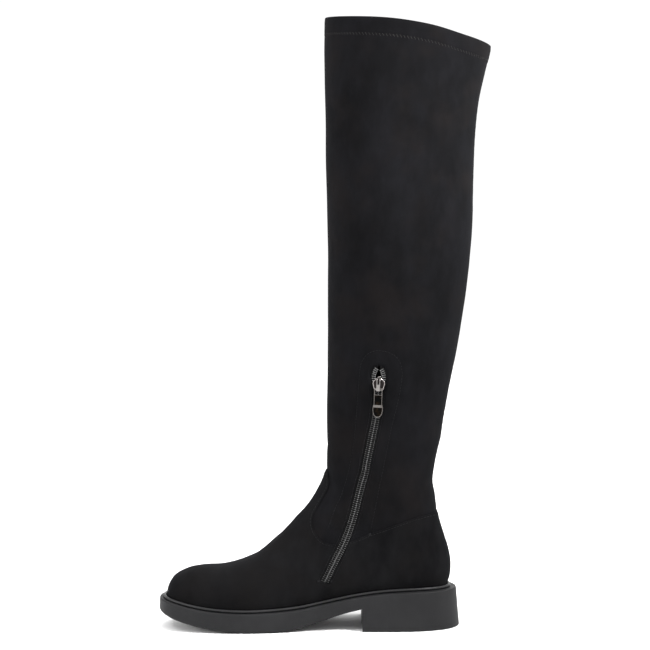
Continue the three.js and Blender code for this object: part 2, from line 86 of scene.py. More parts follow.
# ---------------------------------------------------------------- form of the boot
# Sections from the toe to above the topline, as planes that hold the X direction: front point, back point,
# X of both, X of the widest points, their place from back (0) to front (1), squareness of both halves.
SECTIONS: Line = (
    (-221.5, 31.0, -221.5, 21.0, 5.0, 5.0, 8.0, 2.0, 0.45, 2.0, 2.0),  # toe tip
    (-220.8, 34.5, -221.0, 18.5, 5.0, 5.0, 13.5, -3.5, 0.45, 2.0, 2.4),
    (-218.8, 39.3, -219.2, 16.5, 5.0, 5.0, 19.5, -9.5, 0.45, 2.0, 2.8),
    (-215.0, 44.8, -215.4, 15.0, 5.0, 5.0, 26.0, -17.0, 0.45, 2.1, 3.2),
    (-208.6, 48.9, -209.0, 13.5, 5.0, 4.5, 31.5, -24.0, 0.45, 2.1, 3.4),
    (-199.0, 52.2, -199.0, 12.0, 5.0, 4.0, 36.3, -30.5, 0.45, 2.1, 3.5),  # toe box
    (-186.0, 53.8, -186.0, 10.5, 5.0, 3.0, 38.8, -35.4, 0.45, 2.1, 3.5),
    (-170.0, 54.8, -170.0, 9.0, 5.5, 1.0, 40.6, -40.0, 0.44, 2.1, 3.5),
    (-152.0, 60.0, -151.0, 8.5, 6.0, -1.0, 41.2, -43.8, 0.43, 2.05, 3.5),  # inner ball
    (-136.0, 68.5, -133.0, 8.5, 6.5, -3.0, 39.8, -45.4, 0.41, 2.0, 3.4),  # outer ball
    (-122.0, 80.3, -115.0, 9.0, 6.5, -4.0, 37.2, -45.0, 0.39, 2.0, 3.2),
    (-108.5, 93.6, -96.0, 11.0, 6.0, -4.5, 34.6, -43.0, 0.38, 2.0, 3.0),  # instep
    (-97.5, 105.4, -75.0, 14.0, 5.0, -4.0, 33.2, -40.2, 0.39, 2.0, 2.8),
    (-89.3, 116.6, -52.0, 17.0, 4.0, -3.0, 33.3, -38.5, 0.41, 2.0, 2.7),  # waist
    (-83.4, 127.0, -28.0, 19.0, 3.0, -2.0, 33.6, -37.0, 0.43, 2.05, 2.6),
    (-79.6, 135.4, -6.0, 20.0, 2.0, -1.0, 34.1, -36.3, 0.44, 2.1, 2.5),
    (-77.2, 143.0, 14.0, 23.0, 1.0, 0.0, 34.5, -36.0, 0.45, 2.1, 2.4),  # heel seat
    (-76.7, 150.0, 27.8, 30.5, 1.0, 0.0, 34.7, -35.9, 0.46, 2.15, 2.3),
    (-76.6, 157.0, 34.4, 43.0, 1.0, 0.0, 34.8, -35.8, 0.47, 2.15, 2.2),
    (-76.4, 164.0, 35.6, 57.0, 1.0, 0.0, 34.8, -35.8, 0.48, 2.15, 2.2),  # heel back
    (-76.3, 172.0, 33.5, 70.0, 1.0, 0.0, 34.9, -35.9, 0.48, 2.15, 2.2),
    (-76.4, 181.0, 29.2, 84.5, 1.0, 0.0, 35.2, -36.2, 0.49, 2.15, 2.2),
    (-76.6, 192.0, 24.9, 100.0, 1.0, 0.0, 35.7, -36.7, 0.49, 2.15, 2.2),
    (-76.8, 204.5, 21.7, 116.0, 1.0, 0.0, 36.8, -37.8, 0.49, 2.15, 2.2),
    (-76.7, 219.0, 19.1, 131.5, 1.0, 0.0, 38.3, -39.6, 0.5, 2.15, 2.2),  # ankle hollow
    (-76.3, 236.0, 21.5, 149.0, 0.8, 0.0, 40.6, -42.0, 0.5, 2.15, 2.2),
    (-76.0, 256.0, 26.2, 173.0, 0.6, 0.0, 43.6, -45.2, 0.5, 2.15, 2.2),
    (-75.8, 280.0, 31.8, 205.0, 0.4, 0.0, 46.8, -48.6, 0.5, 2.15, 2.2),
    (-75.7, 308.0, 39.4, 246.0, 0.2, 0.0, 49.6, -51.6, 0.5, 2.15, 2.2),
    (-76.0, 340.0, 47.6, 296.0, 0.0, 0.0, 51.4, -53.4, 0.5, 2.15, 2.2),  # calf
    (-76.6, 378.0, 53.0, 346.0, 0.0, 0.0, 52.2, -54.0, 0.5, 2.15, 2.2),
    (-77.4, 420.0, 54.6, 394.0, 0.0, 0.0, 52.4, -54.0, 0.5, 2.15, 2.2),
    (-78.0, 458.0, 56.2, 436.0, 0.0, 0.0, 52.6, -54.0, 0.5, 2.15, 2.2),  # below the knee
    (-78.6, 492.0, 59.3, 473.0, 0.0, 0.0, 53.0, -54.2, 0.5, 2.15, 2.2),
    (-78.9, 517.0, 64.6, 499.0, 0.0, 0.0, 53.4, -54.4, 0.5, 2.15, 2.2),
    (-78.3, 537.0, 69.0, 517.0, 0.0, 0.0, 53.7, -54.6, 0.5, 2.15, 2.2),  # thigh
    (-77.4, 556.0, 70.4, 536.0, 0.0, 0.0, 53.9, -54.8, 0.5, 2.15, 2.2),
)

# Lines of the side view, as (Y, Z) points from front to back.
TOPLINE: Line = (
    (-90, 547.6), (-65, 547.0), (-30, 545.2), (-7, 542.8), (16, 538.4), (40, 531.6), (60, 525.8), (80, 518.5),
)
SEAM: Line = (
    (-95, 141.5), (-78, 141.5), (-75.6, 138), (-75.2, 128.5), (-79, 120.5), (-85, 110), (-88.8, 103),
    (-89.9, 97), (-88.6, 90.5), (-83.5, 82.8), (-77, 79), (-66, 78), (-54, 81), (-38, 87.6), (-20, 94),
    (-4, 99.8), (8, 103), (24, 104.2), (45, 104.2),
)
LEDGE: Line = (
    (-240, 28.4), (-227, 26.8), (-212, 24.3), (-200, 22), (-184, 19.4), (-168, 18), (-150, 17.4),
    (-134, 17.6), (-118, 18.3), (-101, 19.8), (-86, 22.6), (-72, 25.6), (-58, 28.6), (-46, 30.8),
    (-28, 33.2), (-11, 34.4), (12, 35), (60, 35),
)
TREAD: Line = (
    (-245, 18.2), (-229, 14.6), (-212, 9.8), (-195, 5.8), (-180, 2.8), (-168, 1.5), (-155, 0.7), (-143, 0),
    (-118, 0), (-106, 1.8), (-93, 5.4), (-77, 11), (-60, 16.6), (-44.8, 20.4),
)
ZIP: Line = (
    (-78.6, 44), (-75.2, 50.9), (-69.1, 63.7), (-62.7, 76.5), (-57.2, 90.2), (-52.6, 104.8), (-49, 119.5),
    (-45.6, 133.3), (-43.4, 140.6), (-40.8, 154.6), (-38.2, 167.5), (-35.6, 180.6), (-33.5, 191.6),
    (-31.9, 206), (-31.1, 220), (-30.9, 232.8),
)
FACING: Line = (
    (-75, 93), (-68.8, 110.7), (-64.9, 118.2), (-60.9, 129.6), (-56.5, 146), (-53.5, 163), (-51.5, 180),
    (-50, 200), (-48.6, 220), (-47.4, 236), (-45.2, 244), (-40, 250.6), (-31.5, 253.4), (-20.9, 251.2),
    (-13.9, 245.8), (-10.3, 236.1), (-11.1, 222.7), (-13.7, 207.5), (-17.2, 193.1), (-21.5, 173.1),
    (-25.8, 150.5), (-30.2, 127.8), (-34.6, 105), (-37.6, 90.4),
)


def hermite(
    start: Array, stop: Array, slope_in: Array, slope_out: Array, t: Array,
) -> Array:
    """A cubic between two values with given slopes.

    Args:
        start: Where it starts.
        stop: Where it ends.
        slope_in: Its slope at the start.
        slope_out: Its slope at the end.
        t: Places on it, 0 to 1.

    Returns:
        The cubic at each place.
    """
    return (
        (2 * t**3 - 3 * t**2 + 1) * start + (t**3 - 2 * t**2 + t) * slope_in
        + (3 * t**2 - 2 * t**3) * stop + (t**3 - t**2) * slope_out
    )


def rounded_line(points: Line, per_span: int = 8) -> Array:
    """A smooth line through points.

    Args:
        points: The line's own points.
        per_span: How many steps each span between two of them gets.

    Returns:
        The smooth line's points, as rows.
    """
    given = np.asarray(points, float)
    before = np.vstack([2 * given[0] - given[1], given[:-1]])[:-1]
    after = np.vstack([given[1:], 2 * given[-1] - given[-2]])[1:]
    start, stop = given[:-1], given[1:]
    t = np.linspace(0, 1, per_span, endpoint=False)[:, None, None]
    curve = hermite(start, stop, (stop - before) / 2, (after - start) / 2, t)
    rows = curve.transpose(1, 0, 2).reshape(-1, given.shape[1])
    return np.vstack([rows, given[-1]])


def line_height(line: Array, y: Array) -> Array:
    """Height of a side-view line at y."""
    return np.interp(y, line[:, 0], line[:, 1])


def resample(points: Array, step: float, closed: bool = False) -> Array:
    """Points at an even step along a line.

    Args:
        points: The line's points, as rows.
        step: The distance wanted between two points.
        closed: Whether the line comes back to its start.

    Returns:
        The evenly spaced points.
    """
    path = np.vstack([points, points[:1]]) if closed else points
    lengths = np.concatenate([[0.0], np.cumsum(np.linalg.norm(np.diff(path, axis=0), axis=1))])
    count = max(int(round(lengths[-1] / step)), 2)
    places = np.linspace(0, lengths[-1], count + 1)
    if closed:
        places = places[:-1]
    return np.stack([np.interp(places, lengths, path[:, k]) for k in range(path.shape[1])], axis=1)


def unit(rows: Array) -> Array:
    """Vectors scaled to length one."""
    return rows / np.linalg.norm(rows, axis=-1, keepdims=True)


def shifted(line: Array, distance: float | Array) -> Array:
    """A side-view line moved sideways, to its left for a positive distance."""
    along = unit(np.gradient(line, axis=0))
    return line + np.stack([-along[:, 1], along[:, 0]], axis=1) * np.reshape(distance, (-1, 1))


def distance_to(points: Array, line: Array) -> Array:
    """Distance from side-view points to a line.

    Args:
        points: The points, as rows of (y, z).
        line: The line's points, as rows.

    Returns:
        One distance for each point.
    """
    best = np.full(len(points), np.inf)
    for start, stop in zip(line[:-1], line[1:]):
        span = stop - start
        place = np.clip((points - start) @ span / max(span @ span, 1e-9), 0, 1)
        best = np.minimum(best, np.linalg.norm(points - start - place[:, None] * span, axis=1))
    return best


def inside(points: Array, outline: Array) -> Array:
    """Whether side-view points lie inside a closed outline.

    Args:
        points: The points, as rows of (y, z).
        outline: The outline's corners, as rows.

    Returns:
        One truth value for each point.
    """
    odd = np.zeros(len(points), bool)
    for (y0, z0), (y1, z1) in zip(outline, np.roll(outline, -1, axis=0)):
        if z0 == z1:
            continue
        crosses = (z0 > points[:, 1]) != (z1 > points[:, 1])
        odd ^= crosses & (points[:, 0] < (y1 - y0) * (points[:, 1] - z0) / (z1 - z0) + y0)
    return odd


@dataclass
class Form:
    """The boot's outer skin: a tube through the sections, with its side-view lines."""

    sections: Array = field(default_factory=lambda: np.array(SECTIONS))
    topline: Array = field(default_factory=lambda: rounded_line(TOPLINE))
    seam: Array = field(default_factory=lambda: rounded_line(SEAM, 6))
    ledge: Array = field(default_factory=lambda: rounded_line(LEDGE))
    tread: Array = field(default_factory=lambda: rounded_line(TREAD))
    zip_line: Array = field(default_factory=lambda: rounded_line(ZIP, 6))
    facing: Array = field(default_factory=lambda: rounded_line(FACING, 4))

    @property
    def last(self) -> int:
        """Index of the highest section."""
        return len(self.sections) - 1

    def section(self, v: Array) -> Array:
        """Section sizes at v, smooth from one row of the table to the next.

        Args:
            v: Places counted in rows.

        Returns:
            The table's columns at each place, in the last axis.
        """
        row = np.clip(np.floor(v).astype(int), 0, self.last - 1)
        t = (v - row)[..., None]
        before, start, stop, after = (
            self.sections[np.clip(row + step, 0, self.last)] for step in (-1, 0, 1, 2)
        )
        return hermite(start, stop, (stop - before) / 2, (after - start) / 2, t)

    def skin(self, v: Array, angle: Array) -> Array:
        """Points of the outer skin.

        Args:
            v: Places along the boot, counted in sections.
            angle: Angles round it, from the front over the medial side.

        Returns:
            Points in millimetres, in the last axis.
        """
        v, angle = np.broadcast_arrays(v, angle)
        columns = self.section(v)
        front_y, front_z, back_y, back_z, ridge, keel, medial, lateral, wide, front_p, back_p = (
            columns[..., k] for k in range(11)
        )
        along, across = np.cos(angle), np.sin(angle)
        power = 2 / np.where(along >= 0, front_p, back_p)
        place = wide + np.sign(along) * np.abs(along) ** power * np.where(along >= 0, 1 - wide, wide)
        centre = keel + (ridge - keel) * place
        reach = np.where(across >= 0, medial, lateral) - centre
        return np.stack([
            centre + reach * np.abs(across) ** power,
            back_y + (front_y - back_y) * place,
            back_z + (front_z - back_z) * place,
        ], axis=-1)

    def outward(self, v: Array, angle: Array) -> Array:
        """Unit normals of the outer skin at (v, angle)."""
        step = 0.02
        up = self.skin(np.minimum(v + step, self.last), angle) - self.skin(np.maximum(v - step, 0), angle)
        round_it = self.skin(v, angle + step) - self.skin(v, angle - step)
        return unit(np.cross(round_it, up))

    def level(
        self, angles: Array, height: Callable[[Array], Array], lowest: float,
    ) -> Array:
        """Where each angle of the skin reaches a side-view line.

        Args:
            angles: Angles round the boot.
            height: Height of the line at a given Y.
            lowest: The section to search upwards from.

        Returns:
            The place v for each angle.
        """
        v = np.linspace(lowest, self.last, 400)
        points = self.skin(v[:, None], angles[None, :])
        over = points[..., 2] - height(points[..., 1])
        first = np.argmax(over > 0, axis=0)
        column = np.arange(len(angles))
        low, high = over[first - 1, column], over[first, column]
        return v[first - 1] + (v[first] - v[first - 1]) * (-low / (high - low))

    def feather(self, rise: float) -> Array:
        """The closed line of the skin at a rise above the sole's ledge.

        Args:
            rise: Height over the ledge.

        Returns:
            (x, y) rows from the toe over the medial side to the heel and back over the lateral side.
        """
        v = np.linspace(0, 20, 900)
        section = self.section(v)
        v = v[section[:, 3] < line_height(self.ledge, section[:, 2]) + rise]
        halves = []
        for side in Side:
            angle = np.linspace(0, math.pi, 400) * side.value
            points = self.skin(v[:, None], angle[None, :])
            under = points[..., 2] < line_height(self.ledge, points[..., 1]) + rise
            first = np.argmax(under, axis=1)
            halves.append(points[np.arange(len(v)), np.maximum(first, 1), :2])
        loop = np.vstack([halves[0], halves[1][::-1]])
        return resample(loop, 1.0, closed=True)


# ---------------------------------------------------------------- mesh making
def linked(name: str, data: bpy.types.ID) -> Piece:
    """A new object in the scene."""
    made = bpy.data.objects.new(name, data)
    bpy.context.scene.collection.objects.link(made)
    return made


def mesh_object(name: str, points: Array, faces: Faces, smooth_deg: float = 40.0) -> Piece:
    """An object from points in millimetres.

    Args:
        name: Name of the object and its mesh.
        points: Rows of (x, y, z) in millimetres.
        faces: Corner indexes of each face.
        smooth_deg: Edges sharper than this many degrees stay sharp.

    Returns:
        The object, linked to the scene.
    """
    mesh = bpy.data.meshes.new(name)
    mesh.from_pydata((np.asarray(points, float) * MM).tolist(), [], faces)
    mesh.validate()
    made = linked(name, mesh)
    soften(made, smooth_deg)
    return made


def soften(piece: Piece, smooth_deg: float) -> None:
    """Shades a piece smooth but for its sharp edges."""
    piece.data.shade_smooth()
    piece.data.set_sharp_from_angle(angle=math.radians(smooth_deg))


def grid_faces(rows: int, columns: int, around: bool, start: int = 0) -> Faces:
    """Quads of a grid of points stored row by row.

    Args:
        rows: Number of rows.
        columns: Number of points in a row.
        around: Whether each row closes on itself.
        start: Index of the grid's first point.

    Returns:
        The faces.
    """
    count = columns if around else columns - 1
    index = start + np.arange(rows * columns).reshape(rows, columns)
    low, high = index[:-1], index[1:]
    following = (np.arange(count) + 1) % columns
    quads = np.stack([low[:, :count], low[:, following], high[:, following], high[:, :count]], axis=-1)
    return [tuple(quad) for quad in quads.reshape(-1, 4).tolist()]


def tube_object(name: str, grid: Array) -> Piece:
    """A closed body through rings of points, with a fan at each end.

    Args:
        name: Name of the object.
        grid: Rings of points, as (rings, points round, 3).

    Returns:
        The object.
    """
    rings, round_count, _ = grid.shape
    points = np.vstack([grid.reshape(-1, 3), grid[0].mean(axis=0), grid[-1].mean(axis=0)])
    faces = grid_faces(rings, round_count, True)
    first, last = rings * round_count, rings * round_count + 1
    top = (rings - 1) * round_count
    for k in range(round_count):
        following = (k + 1) % round_count
        faces.append((first, following, k))
        faces.append((last, top + k, top + following))
    return face_out(mesh_object(name, points, faces))


def face_out(piece: Piece) -> Piece:
    """Turns a closed piece's faces outwards.

    Args:
        piece: The closed piece.

    Returns:
        The same piece.
    """
    work = bmesh.new()
    work.from_mesh(piece.data)
    bmesh.ops.recalc_face_normals(work, faces=work.faces)
    if work.calc_volume(signed=True) < 0:
        bmesh.ops.reverse_faces(work, faces=work.faces)
    work.to_mesh(piece.data)
    work.free()
    return piece


def weld(piece: Piece, distance: float = 0.01) -> Piece:
    """Joins points of a piece that coincide, and drops the faces that vanish.

    Args:
        piece: The piece.
        distance: Points nearer than this many millimetres are joined.

    Returns:
        The same piece, facing out.
    """
    work = bmesh.new()
    work.from_mesh(piece.data)
    bmesh.ops.remove_doubles(work, verts=work.verts, dist=distance * MM)
    bmesh.ops.dissolve_degenerate(work, edges=work.edges, dist=1e-7)
    work.to_mesh(piece.data)
    work.free()
    return face_out(piece)


def prism(name: str, outline: Array, x_from: float, x_to: float) -> Piece:
    """A side-view outline made solid along X.

    Args:
        name: Name of the object.
        outline: Its corners, as rows of (y, z).
        x_from: Where it starts.
        x_to: Where it ends.

    Returns:
        The object.
    """
    count = len(outline)
    near = np.column_stack([np.full(count, x_from), outline])
    far = np.column_stack([np.full(count, x_to), outline])
    faces: Faces = [tuple(range(count)), tuple(range(2 * count - 1, count - 1, -1))]
    for k in range(count):
        following = (k + 1) % count
        faces.append((k, k + count, following + count, following))
    return face_out(mesh_object(name, np.vstack([near, far]), faces))


def combine(piece: Piece, tool: Piece, operation: str) -> None:
    """Cuts a closed piece by another and removes the other.

    Args:
        piece: The piece that changes.
        tool: The other one.
        operation: DIFFERENCE or INTERSECT.
    """
    for finish in piece.data.materials:
        if finish is not None and finish.name not in tool.data.materials:
            tool.data.materials.append(finish)
    change = piece.modifiers.new("combine", "BOOLEAN")
    change.object = tool
    change.operation = operation
    change.solver = "MANIFOLD"
    settle(piece)
    bpy.data.objects.remove(tool)


def settle(piece: Piece) -> Piece:
    """Applies a piece's modifiers to its mesh.

    Args:
        piece: The piece.

    Returns:
        The same piece.
    """
    graph = bpy.context.evaluated_depsgraph_get()
    made = bpy.data.meshes.new_from_object(piece.evaluated_get(graph))
    piece.modifiers.clear()
    piece.data = made
    return piece


def merged(name: str, parts: Sequence[Piece]) -> Piece:
    """One object from several, with their materials kept.

    Args:
        name: Name of the new object.
        parts: The objects that it takes the place of.

    Returns:
        The new object.
    """
    points: list[tuple[float, float, float]] = []
    faces: Faces = []
    slots: list[int] = []
    finishes: list[Material] = []
    for part in parts:
        start = len(points)
        points += [tuple(part.matrix_world @ v.co / MM) for v in part.data.vertices]
        for finish in part.data.materials:
            if finish not in finishes:
                finishes.append(finish)
        places = [finishes.index(finish) for finish in part.data.materials]
        for face in part.data.polygons:
            faces.append(tuple(start + k for k in face.vertices))
            slots.append(places[face.material_index] if places else 0)
    made = mesh_object(name, np.array(points), faces)
    for finish in finishes:
        made.data.materials.append(finish)
    made.data.polygons.foreach_set("material_index", slots)
    for part in parts:
        bpy.data.objects.remove(part)
    return made


def bars(
    name: str, starts: Array, ends: Array, normals: Array, width: float, height: float,
    arch: float,
) -> Piece:
    """Many small rounded bars in one mesh, such as stitches or the turns of a coil.

    Args:
        name: Name of the object.
        starts: Where each bar starts, as rows.
        ends: Where each bar ends.
        normals: The way up of each bar.
        width: Thickness across the way up.
        height: Thickness along the way up.
        arch: How far the middle stands above the ends.

    Returns:
        The object.
    """
    sides = 8
    # place along the bar, reach past it in half widths, size, share of the arch
    rings = ((0.0, -0.9, 0.45, 0.0), (0.0, 0.0, 1.0, 0.25), (0.5, 0.0, 1.0, 1.0), (1.0, 0.0, 1.0, 0.25),
             (1.0, 0.9, 0.45, 0.0))
    along = unit(ends - starts)
    across = unit(np.cross(along, normals))
    up = np.cross(across, along)
    turn = np.arange(sides) * 2 * math.pi / sides
    points = []
    for place, beyond, scale, rise in rings:
        middle = starts + (ends - starts) * place + along * (beyond * width / 2) + up * (arch * rise)
        ring = middle[:, None, :]
        ring = ring + across[:, None, :] * (np.cos(turn) * scale * width / 2)[None, :, None]
        ring = ring + up[:, None, :] * (np.sin(turn) * scale * height / 2)[None, :, None]
        points.append(ring)
    block = np.concatenate(points, axis=1)
    per_bar = len(rings) * sides
    faces: Faces = []
    pattern = grid_faces(len(rings), sides, True)
    caps = [tuple(range(sides))[::-1], tuple(range(per_bar - sides, per_bar))]
    for k in range(len(starts)):
        base = k * per_bar
        faces += [tuple(base + i for i in face) for face in pattern + caps]
    return face_out(mesh_object(name, block.reshape(-1, 3), faces, 75.0))


def sweep(name: str, sections: Array) -> Piece:
    """A closed ring through sections that meet end to end.

    Args:
        name: Name of the object.
        sections: The sections, as (sections, points of one, 3).

    Returns:
        The object.
    """
    count, round_count, _ = sections.shape
    faces = grid_faces(count, round_count, True)
    low = (count - 1) * round_count
    for k in range(round_count):
        following = (k + 1) % round_count
        faces.append((low + k, low + following, following, k))
    return face_out(mesh_object(name, sections.reshape(-1, 3), faces, 60.0))


@dataclass
class Surface:
    """A mesh that small pieces are laid on."""

    tree: BVHTree

    @classmethod
    def of(cls, *pieces: Piece) -> Surface:
        """The surface of some pieces."""
        points: list[Vector] = []
        faces: Faces = []
        for piece in pieces:
            start = len(points)
            points += [v.co / MM for v in piece.data.vertices]
            faces += [tuple(start + k for k in face.vertices) for face in piece.data.polygons]
        return cls(BVHTree.FromPolygons(points, faces))

    def facing(self, side_view: Array, side: Side) -> tuple[Array, Array]:
        """Points of one side of the boot under side-view points.

        Args:
            side_view: Rows of (y, z).
            side: Which side of the boot.

        Returns:
            The points and the normals there; a miss is left out.
        """
        points, normals = [], []
        for y, z in side_view:
            hit = self.tree.ray_cast(Vector((side.value * SPAN, y, z)), Vector((-side.value, 0, 0)))
            if hit[0] is not None:
                points.append(tuple(hit[0]))
                normals.append(tuple(hit[1]))
        return np.array(points), np.array(normals)

    def nearest(self, points: Array) -> tuple[Array, Array]:
        """The surface points nearest to points, and the normals there."""
        hits = [self.tree.find_nearest(Vector(point)) for point in points]
        return np.array([tuple(hit[0]) for hit in hits]), np.array([tuple(hit[1]) for hit in hits])


# ---------------------------------------------------------------- finishes
Colour = tuple[float, float, float]


def tint(colour: Colour) -> tuple[float, float, float, float]:
    """A display colour of 0 to 255 as linear light, opaque."""
    parts = [value / 255 for value in colour]
    linear = [p / 12.92 if p <= 0.04045 else ((p + 0.055) / 1.055) ** 2.4 for p in parts]
    return linear[0], linear[1], linear[2], 1.0


class Graph:
    """Builds the nodes of one material."""

    def __init__(self, name: str) -> None:
        """Starts a material.

        Args:
            name: The material's name.
        """
        self.material = bpy.data.materials.new(name)
        self.material.use_nodes = True
        self.tree = self.material.node_tree
        self.shader = self.tree.nodes["Principled BSDF"]
        self.place = self.tree.nodes.new("ShaderNodeTexCoord").outputs["Object"]

    def node(self, kind: str, **settings: object) -> bpy.types.Node:
        """A new node with some of its settings."""
        made = self.tree.nodes.new(kind)
        for name, value in settings.items():
            setattr(made, name, value)
        return made

    def feed(self, node: bpy.types.Node, socket: str | int, value: object) -> None:
        """Links an output to a node's input, or sets the input to a plain value."""
        if isinstance(value, Socket):
            self.tree.links.new(value, node.inputs[socket])
        else:
            node.inputs[socket].default_value = value

    def stretched(self, scale: tuple[float, float, float]) -> Socket:
        """The object's coordinates with each axis scaled."""
        mapping = self.node("ShaderNodeMapping")
        self.feed(mapping, "Vector", self.place)
        self.feed(mapping, "Scale", scale)
        return mapping.outputs["Vector"]

    def noise(
        self, size: float, detail: float = 3.0, roughness: float = 0.5,
        place: Socket | None = None,
    ) -> Socket:
        """Cloudy noise.

        Args:
            size: Size of its cells in millimetres.
            detail: Number of finer octaves.
            roughness: Strength of the finer octaves.
            place: Coordinates, where they aren't the object's own.

        Returns:
            The noise, about 0.5.
        """
        made = self.node("ShaderNodeTexNoise")
        self.feed(made, "Vector", place or self.place)
        self.feed(made, "Scale", 1 / (size * MM))
        self.feed(made, "Detail", detail)
        self.feed(made, "Roughness", roughness)
        return made.outputs["Fac"]

    def ramp(self, value: Socket, low: float, high: float) -> Socket:
        """A value stretched so that low becomes 0 and high becomes 1."""
        made = self.node("ShaderNodeMapRange", interpolation_type="SMOOTHSTEP")
        self.feed(made, "Value", value)
        self.feed(made, "From Min", low)
        self.feed(made, "From Max", high)
        return made.outputs["Result"]

    def maths(
        self, operation: str, first: Socket | float, second: Socket | float = 0.0,
    ) -> Socket:
        """The result of one sum on two values."""
        made = self.node("ShaderNodeMath", operation=operation)
        self.feed(made, 0, first)
        self.feed(made, 1, second)
        return made.outputs[0]

    def scaled(self, value: Socket, factor: float, base: float) -> Socket:
        """A value times a factor, on top of a base."""
        return self.maths("ADD", self.maths("MULTIPLY", value, factor), base)

    def mixture(
        self, first: Socket, share: float, second: Socket, other: float,
    ) -> Socket:
        """The sum of two values, each times a share of its own."""
        return self.maths("ADD", self.maths("MULTIPLY", first, share), self.maths("MULTIPLY", second, other))

    def between(
        self, factor: Socket | float, low: Colour | Socket,
        high: Colour | Socket,
    ) -> Socket:
        """A colour between two colours."""
        made = self.node("ShaderNodeMix", data_type="RGBA")
        self.feed(made, 0, factor)
        self.feed(made, 6, tint(low) if isinstance(low, tuple) else low)
        self.feed(made, 7, tint(high) if isinstance(high, tuple) else high)
        return made.outputs[2]

    def waves(self, size: float, direction: str) -> Socket:
        """Even waves.

        Args:
            size: Distance between two waves in millimetres.
            direction: Axis that they run along.

        Returns:
            The waves, from 0 to 1.
        """
        made = self.node("ShaderNodeTexWave", bands_direction=direction)
        self.feed(made, "Vector", self.place)
        self.feed(made, "Scale", math.pi / (10 * size * MM))
        return made.outputs["Fac"]

    def bump(
        self, height: Socket, strength: float, depth: float,
        under: Socket | None = None,
    ) -> Socket:
        """A bumped normal.

        Args:
            height: Height of the bumps.
            strength: Their strength, up to 1.
            depth: Their depth in millimetres.
            under: Normal of the coarser bumps beneath.

        Returns:
            The normal.
        """
        made = self.node("ShaderNodeBump")
        self.feed(made, "Height", height)
        self.feed(made, "Strength", strength)
        self.feed(made, "Distance", depth * MM)
        if under is not None:
            self.feed(made, "Normal", under)
        return made.outputs["Normal"]

    def finish(self, **sockets: object) -> Material:
        """Fills the shader's sockets, named with underscores for spaces.

        Args:
            sockets: Values or outputs by socket name.

        Returns:
            The material.
        """
        for name, value in sockets.items():
            self.feed(self.shader, name.replace("_", " "), value)
        return self.material


@dataclass(frozen=True)
class SuedeFinish:
    """Brushed faux suede: short nap in soft patches, paler where it is seen edge on."""

    name: str
    colour: Colour = (12, 12, 13)
    patch: Colour = (18, 18, 20)
    worn: Colour = (32, 32, 35)
    warm: Colour = (20, 18, 18)
    sheen: float = 0.014

    def material(self) -> Material:
        """Makes the material.

        Returns:
            The material.
        """
        graph = Graph(self.name)
        clouds = graph.ramp(graph.noise(46, 3, 0.55, graph.stretched((1.0, 1.0, 0.62))), 0.38, 0.68)
        brushed = graph.ramp(graph.noise(9, 4, 0.6, graph.stretched((1.0, 1.0, 0.5))), 0.35, 0.75)
        patches = graph.mixture(clouds, 0.62, brushed, 0.38)
        tinged = graph.maths("MULTIPLY", graph.ramp(graph.noise(52, 3, 0.6), 0.42, 0.72), 0.7)
        base = graph.between(tinged, graph.between(patches, self.colour, self.patch), self.warm)
        fibre = graph.noise(0.42, 2, 0.7)
        specks = graph.ramp(fibre, 0.62, 0.8)
        colour = graph.between(graph.maths("MULTIPLY", specks, 0.35), base, self.worn)
        nap = graph.bump(graph.noise(0.9, 3, 0.65), 0.32, 0.35)
        hairs = graph.bump(fibre, 0.5, 0.14, nap)
        return graph.finish(
            Base_Color=colour,
            Roughness=graph.scaled(patches, -0.08, 0.93),
            Specular_IOR_Level=0.02,
            Sheen_Weight=self.sheen,
            Sheen_Roughness=0.45,
            Sheen_Tint=tint((205, 208, 222)),
            Normal=hairs,
        )


@dataclass(frozen=True)
class LiningFinish:
    """Black knitted lining."""

    name: str
    colour: Colour = (20, 19, 20)
    rib: Colour = (38, 36, 37)

    def material(self) -> Material:
        """Makes the material.

        Returns:
            The material.
        """
        graph = Graph(self.name)
        courses = graph.waves(1.1, "Z")
        wales = graph.noise(0.9, 2, 0.5, graph.stretched((1.0, 1.0, 0.2)))
        knit = graph.maths("MULTIPLY", courses, wales)
        fluff = graph.noise(2.4, 4, 0.6)
        mixed = graph.mixture(knit, 0.55, fluff, 0.35)
        return graph.finish(
            Base_Color=graph.between(mixed, self.colour, self.rib),
            Roughness=0.95,
            Specular_IOR_Level=0.06,
            Sheen_Weight=0.05,
            Normal=graph.bump(knit, 0.45, 0.25, graph.bump(fluff, 0.2, 0.4)),
        )


@dataclass(frozen=True)
class RubberFinish:
    """Moulded rubber, a little dusty, with a fine grain."""

    name: str
    colour: Colour = (28, 28, 29)
    dust: Colour = (37, 37, 38)
    roughness: float = 0.58
    grain: float = 0.10
    specular: float = 0.12

    def material(self) -> Material:
        """Makes the material.

        Returns:
            The material.
        """
        graph = Graph(self.name)
        clouds = graph.ramp(graph.noise(24, 4, 0.6), 0.35, 0.75)
        scuffs = graph.ramp(graph.noise(3.0, 5, 0.7, graph.stretched((1.0, 1.0, 3.5))), 0.55, 0.8)
        worn = graph.mixture(clouds, 0.45, scuffs, 0.4)
        pores = graph.noise(0.35, 2, 0.6)
        return graph.finish(
            Base_Color=graph.between(worn, self.colour, self.dust),
            Roughness=graph.scaled(worn, 0.14, self.roughness),
            Specular_IOR_Level=self.specular,
            Normal=graph.bump(pores, 0.3, self.grain, graph.bump(graph.noise(5, 3), 0.12, 0.3)),
        )


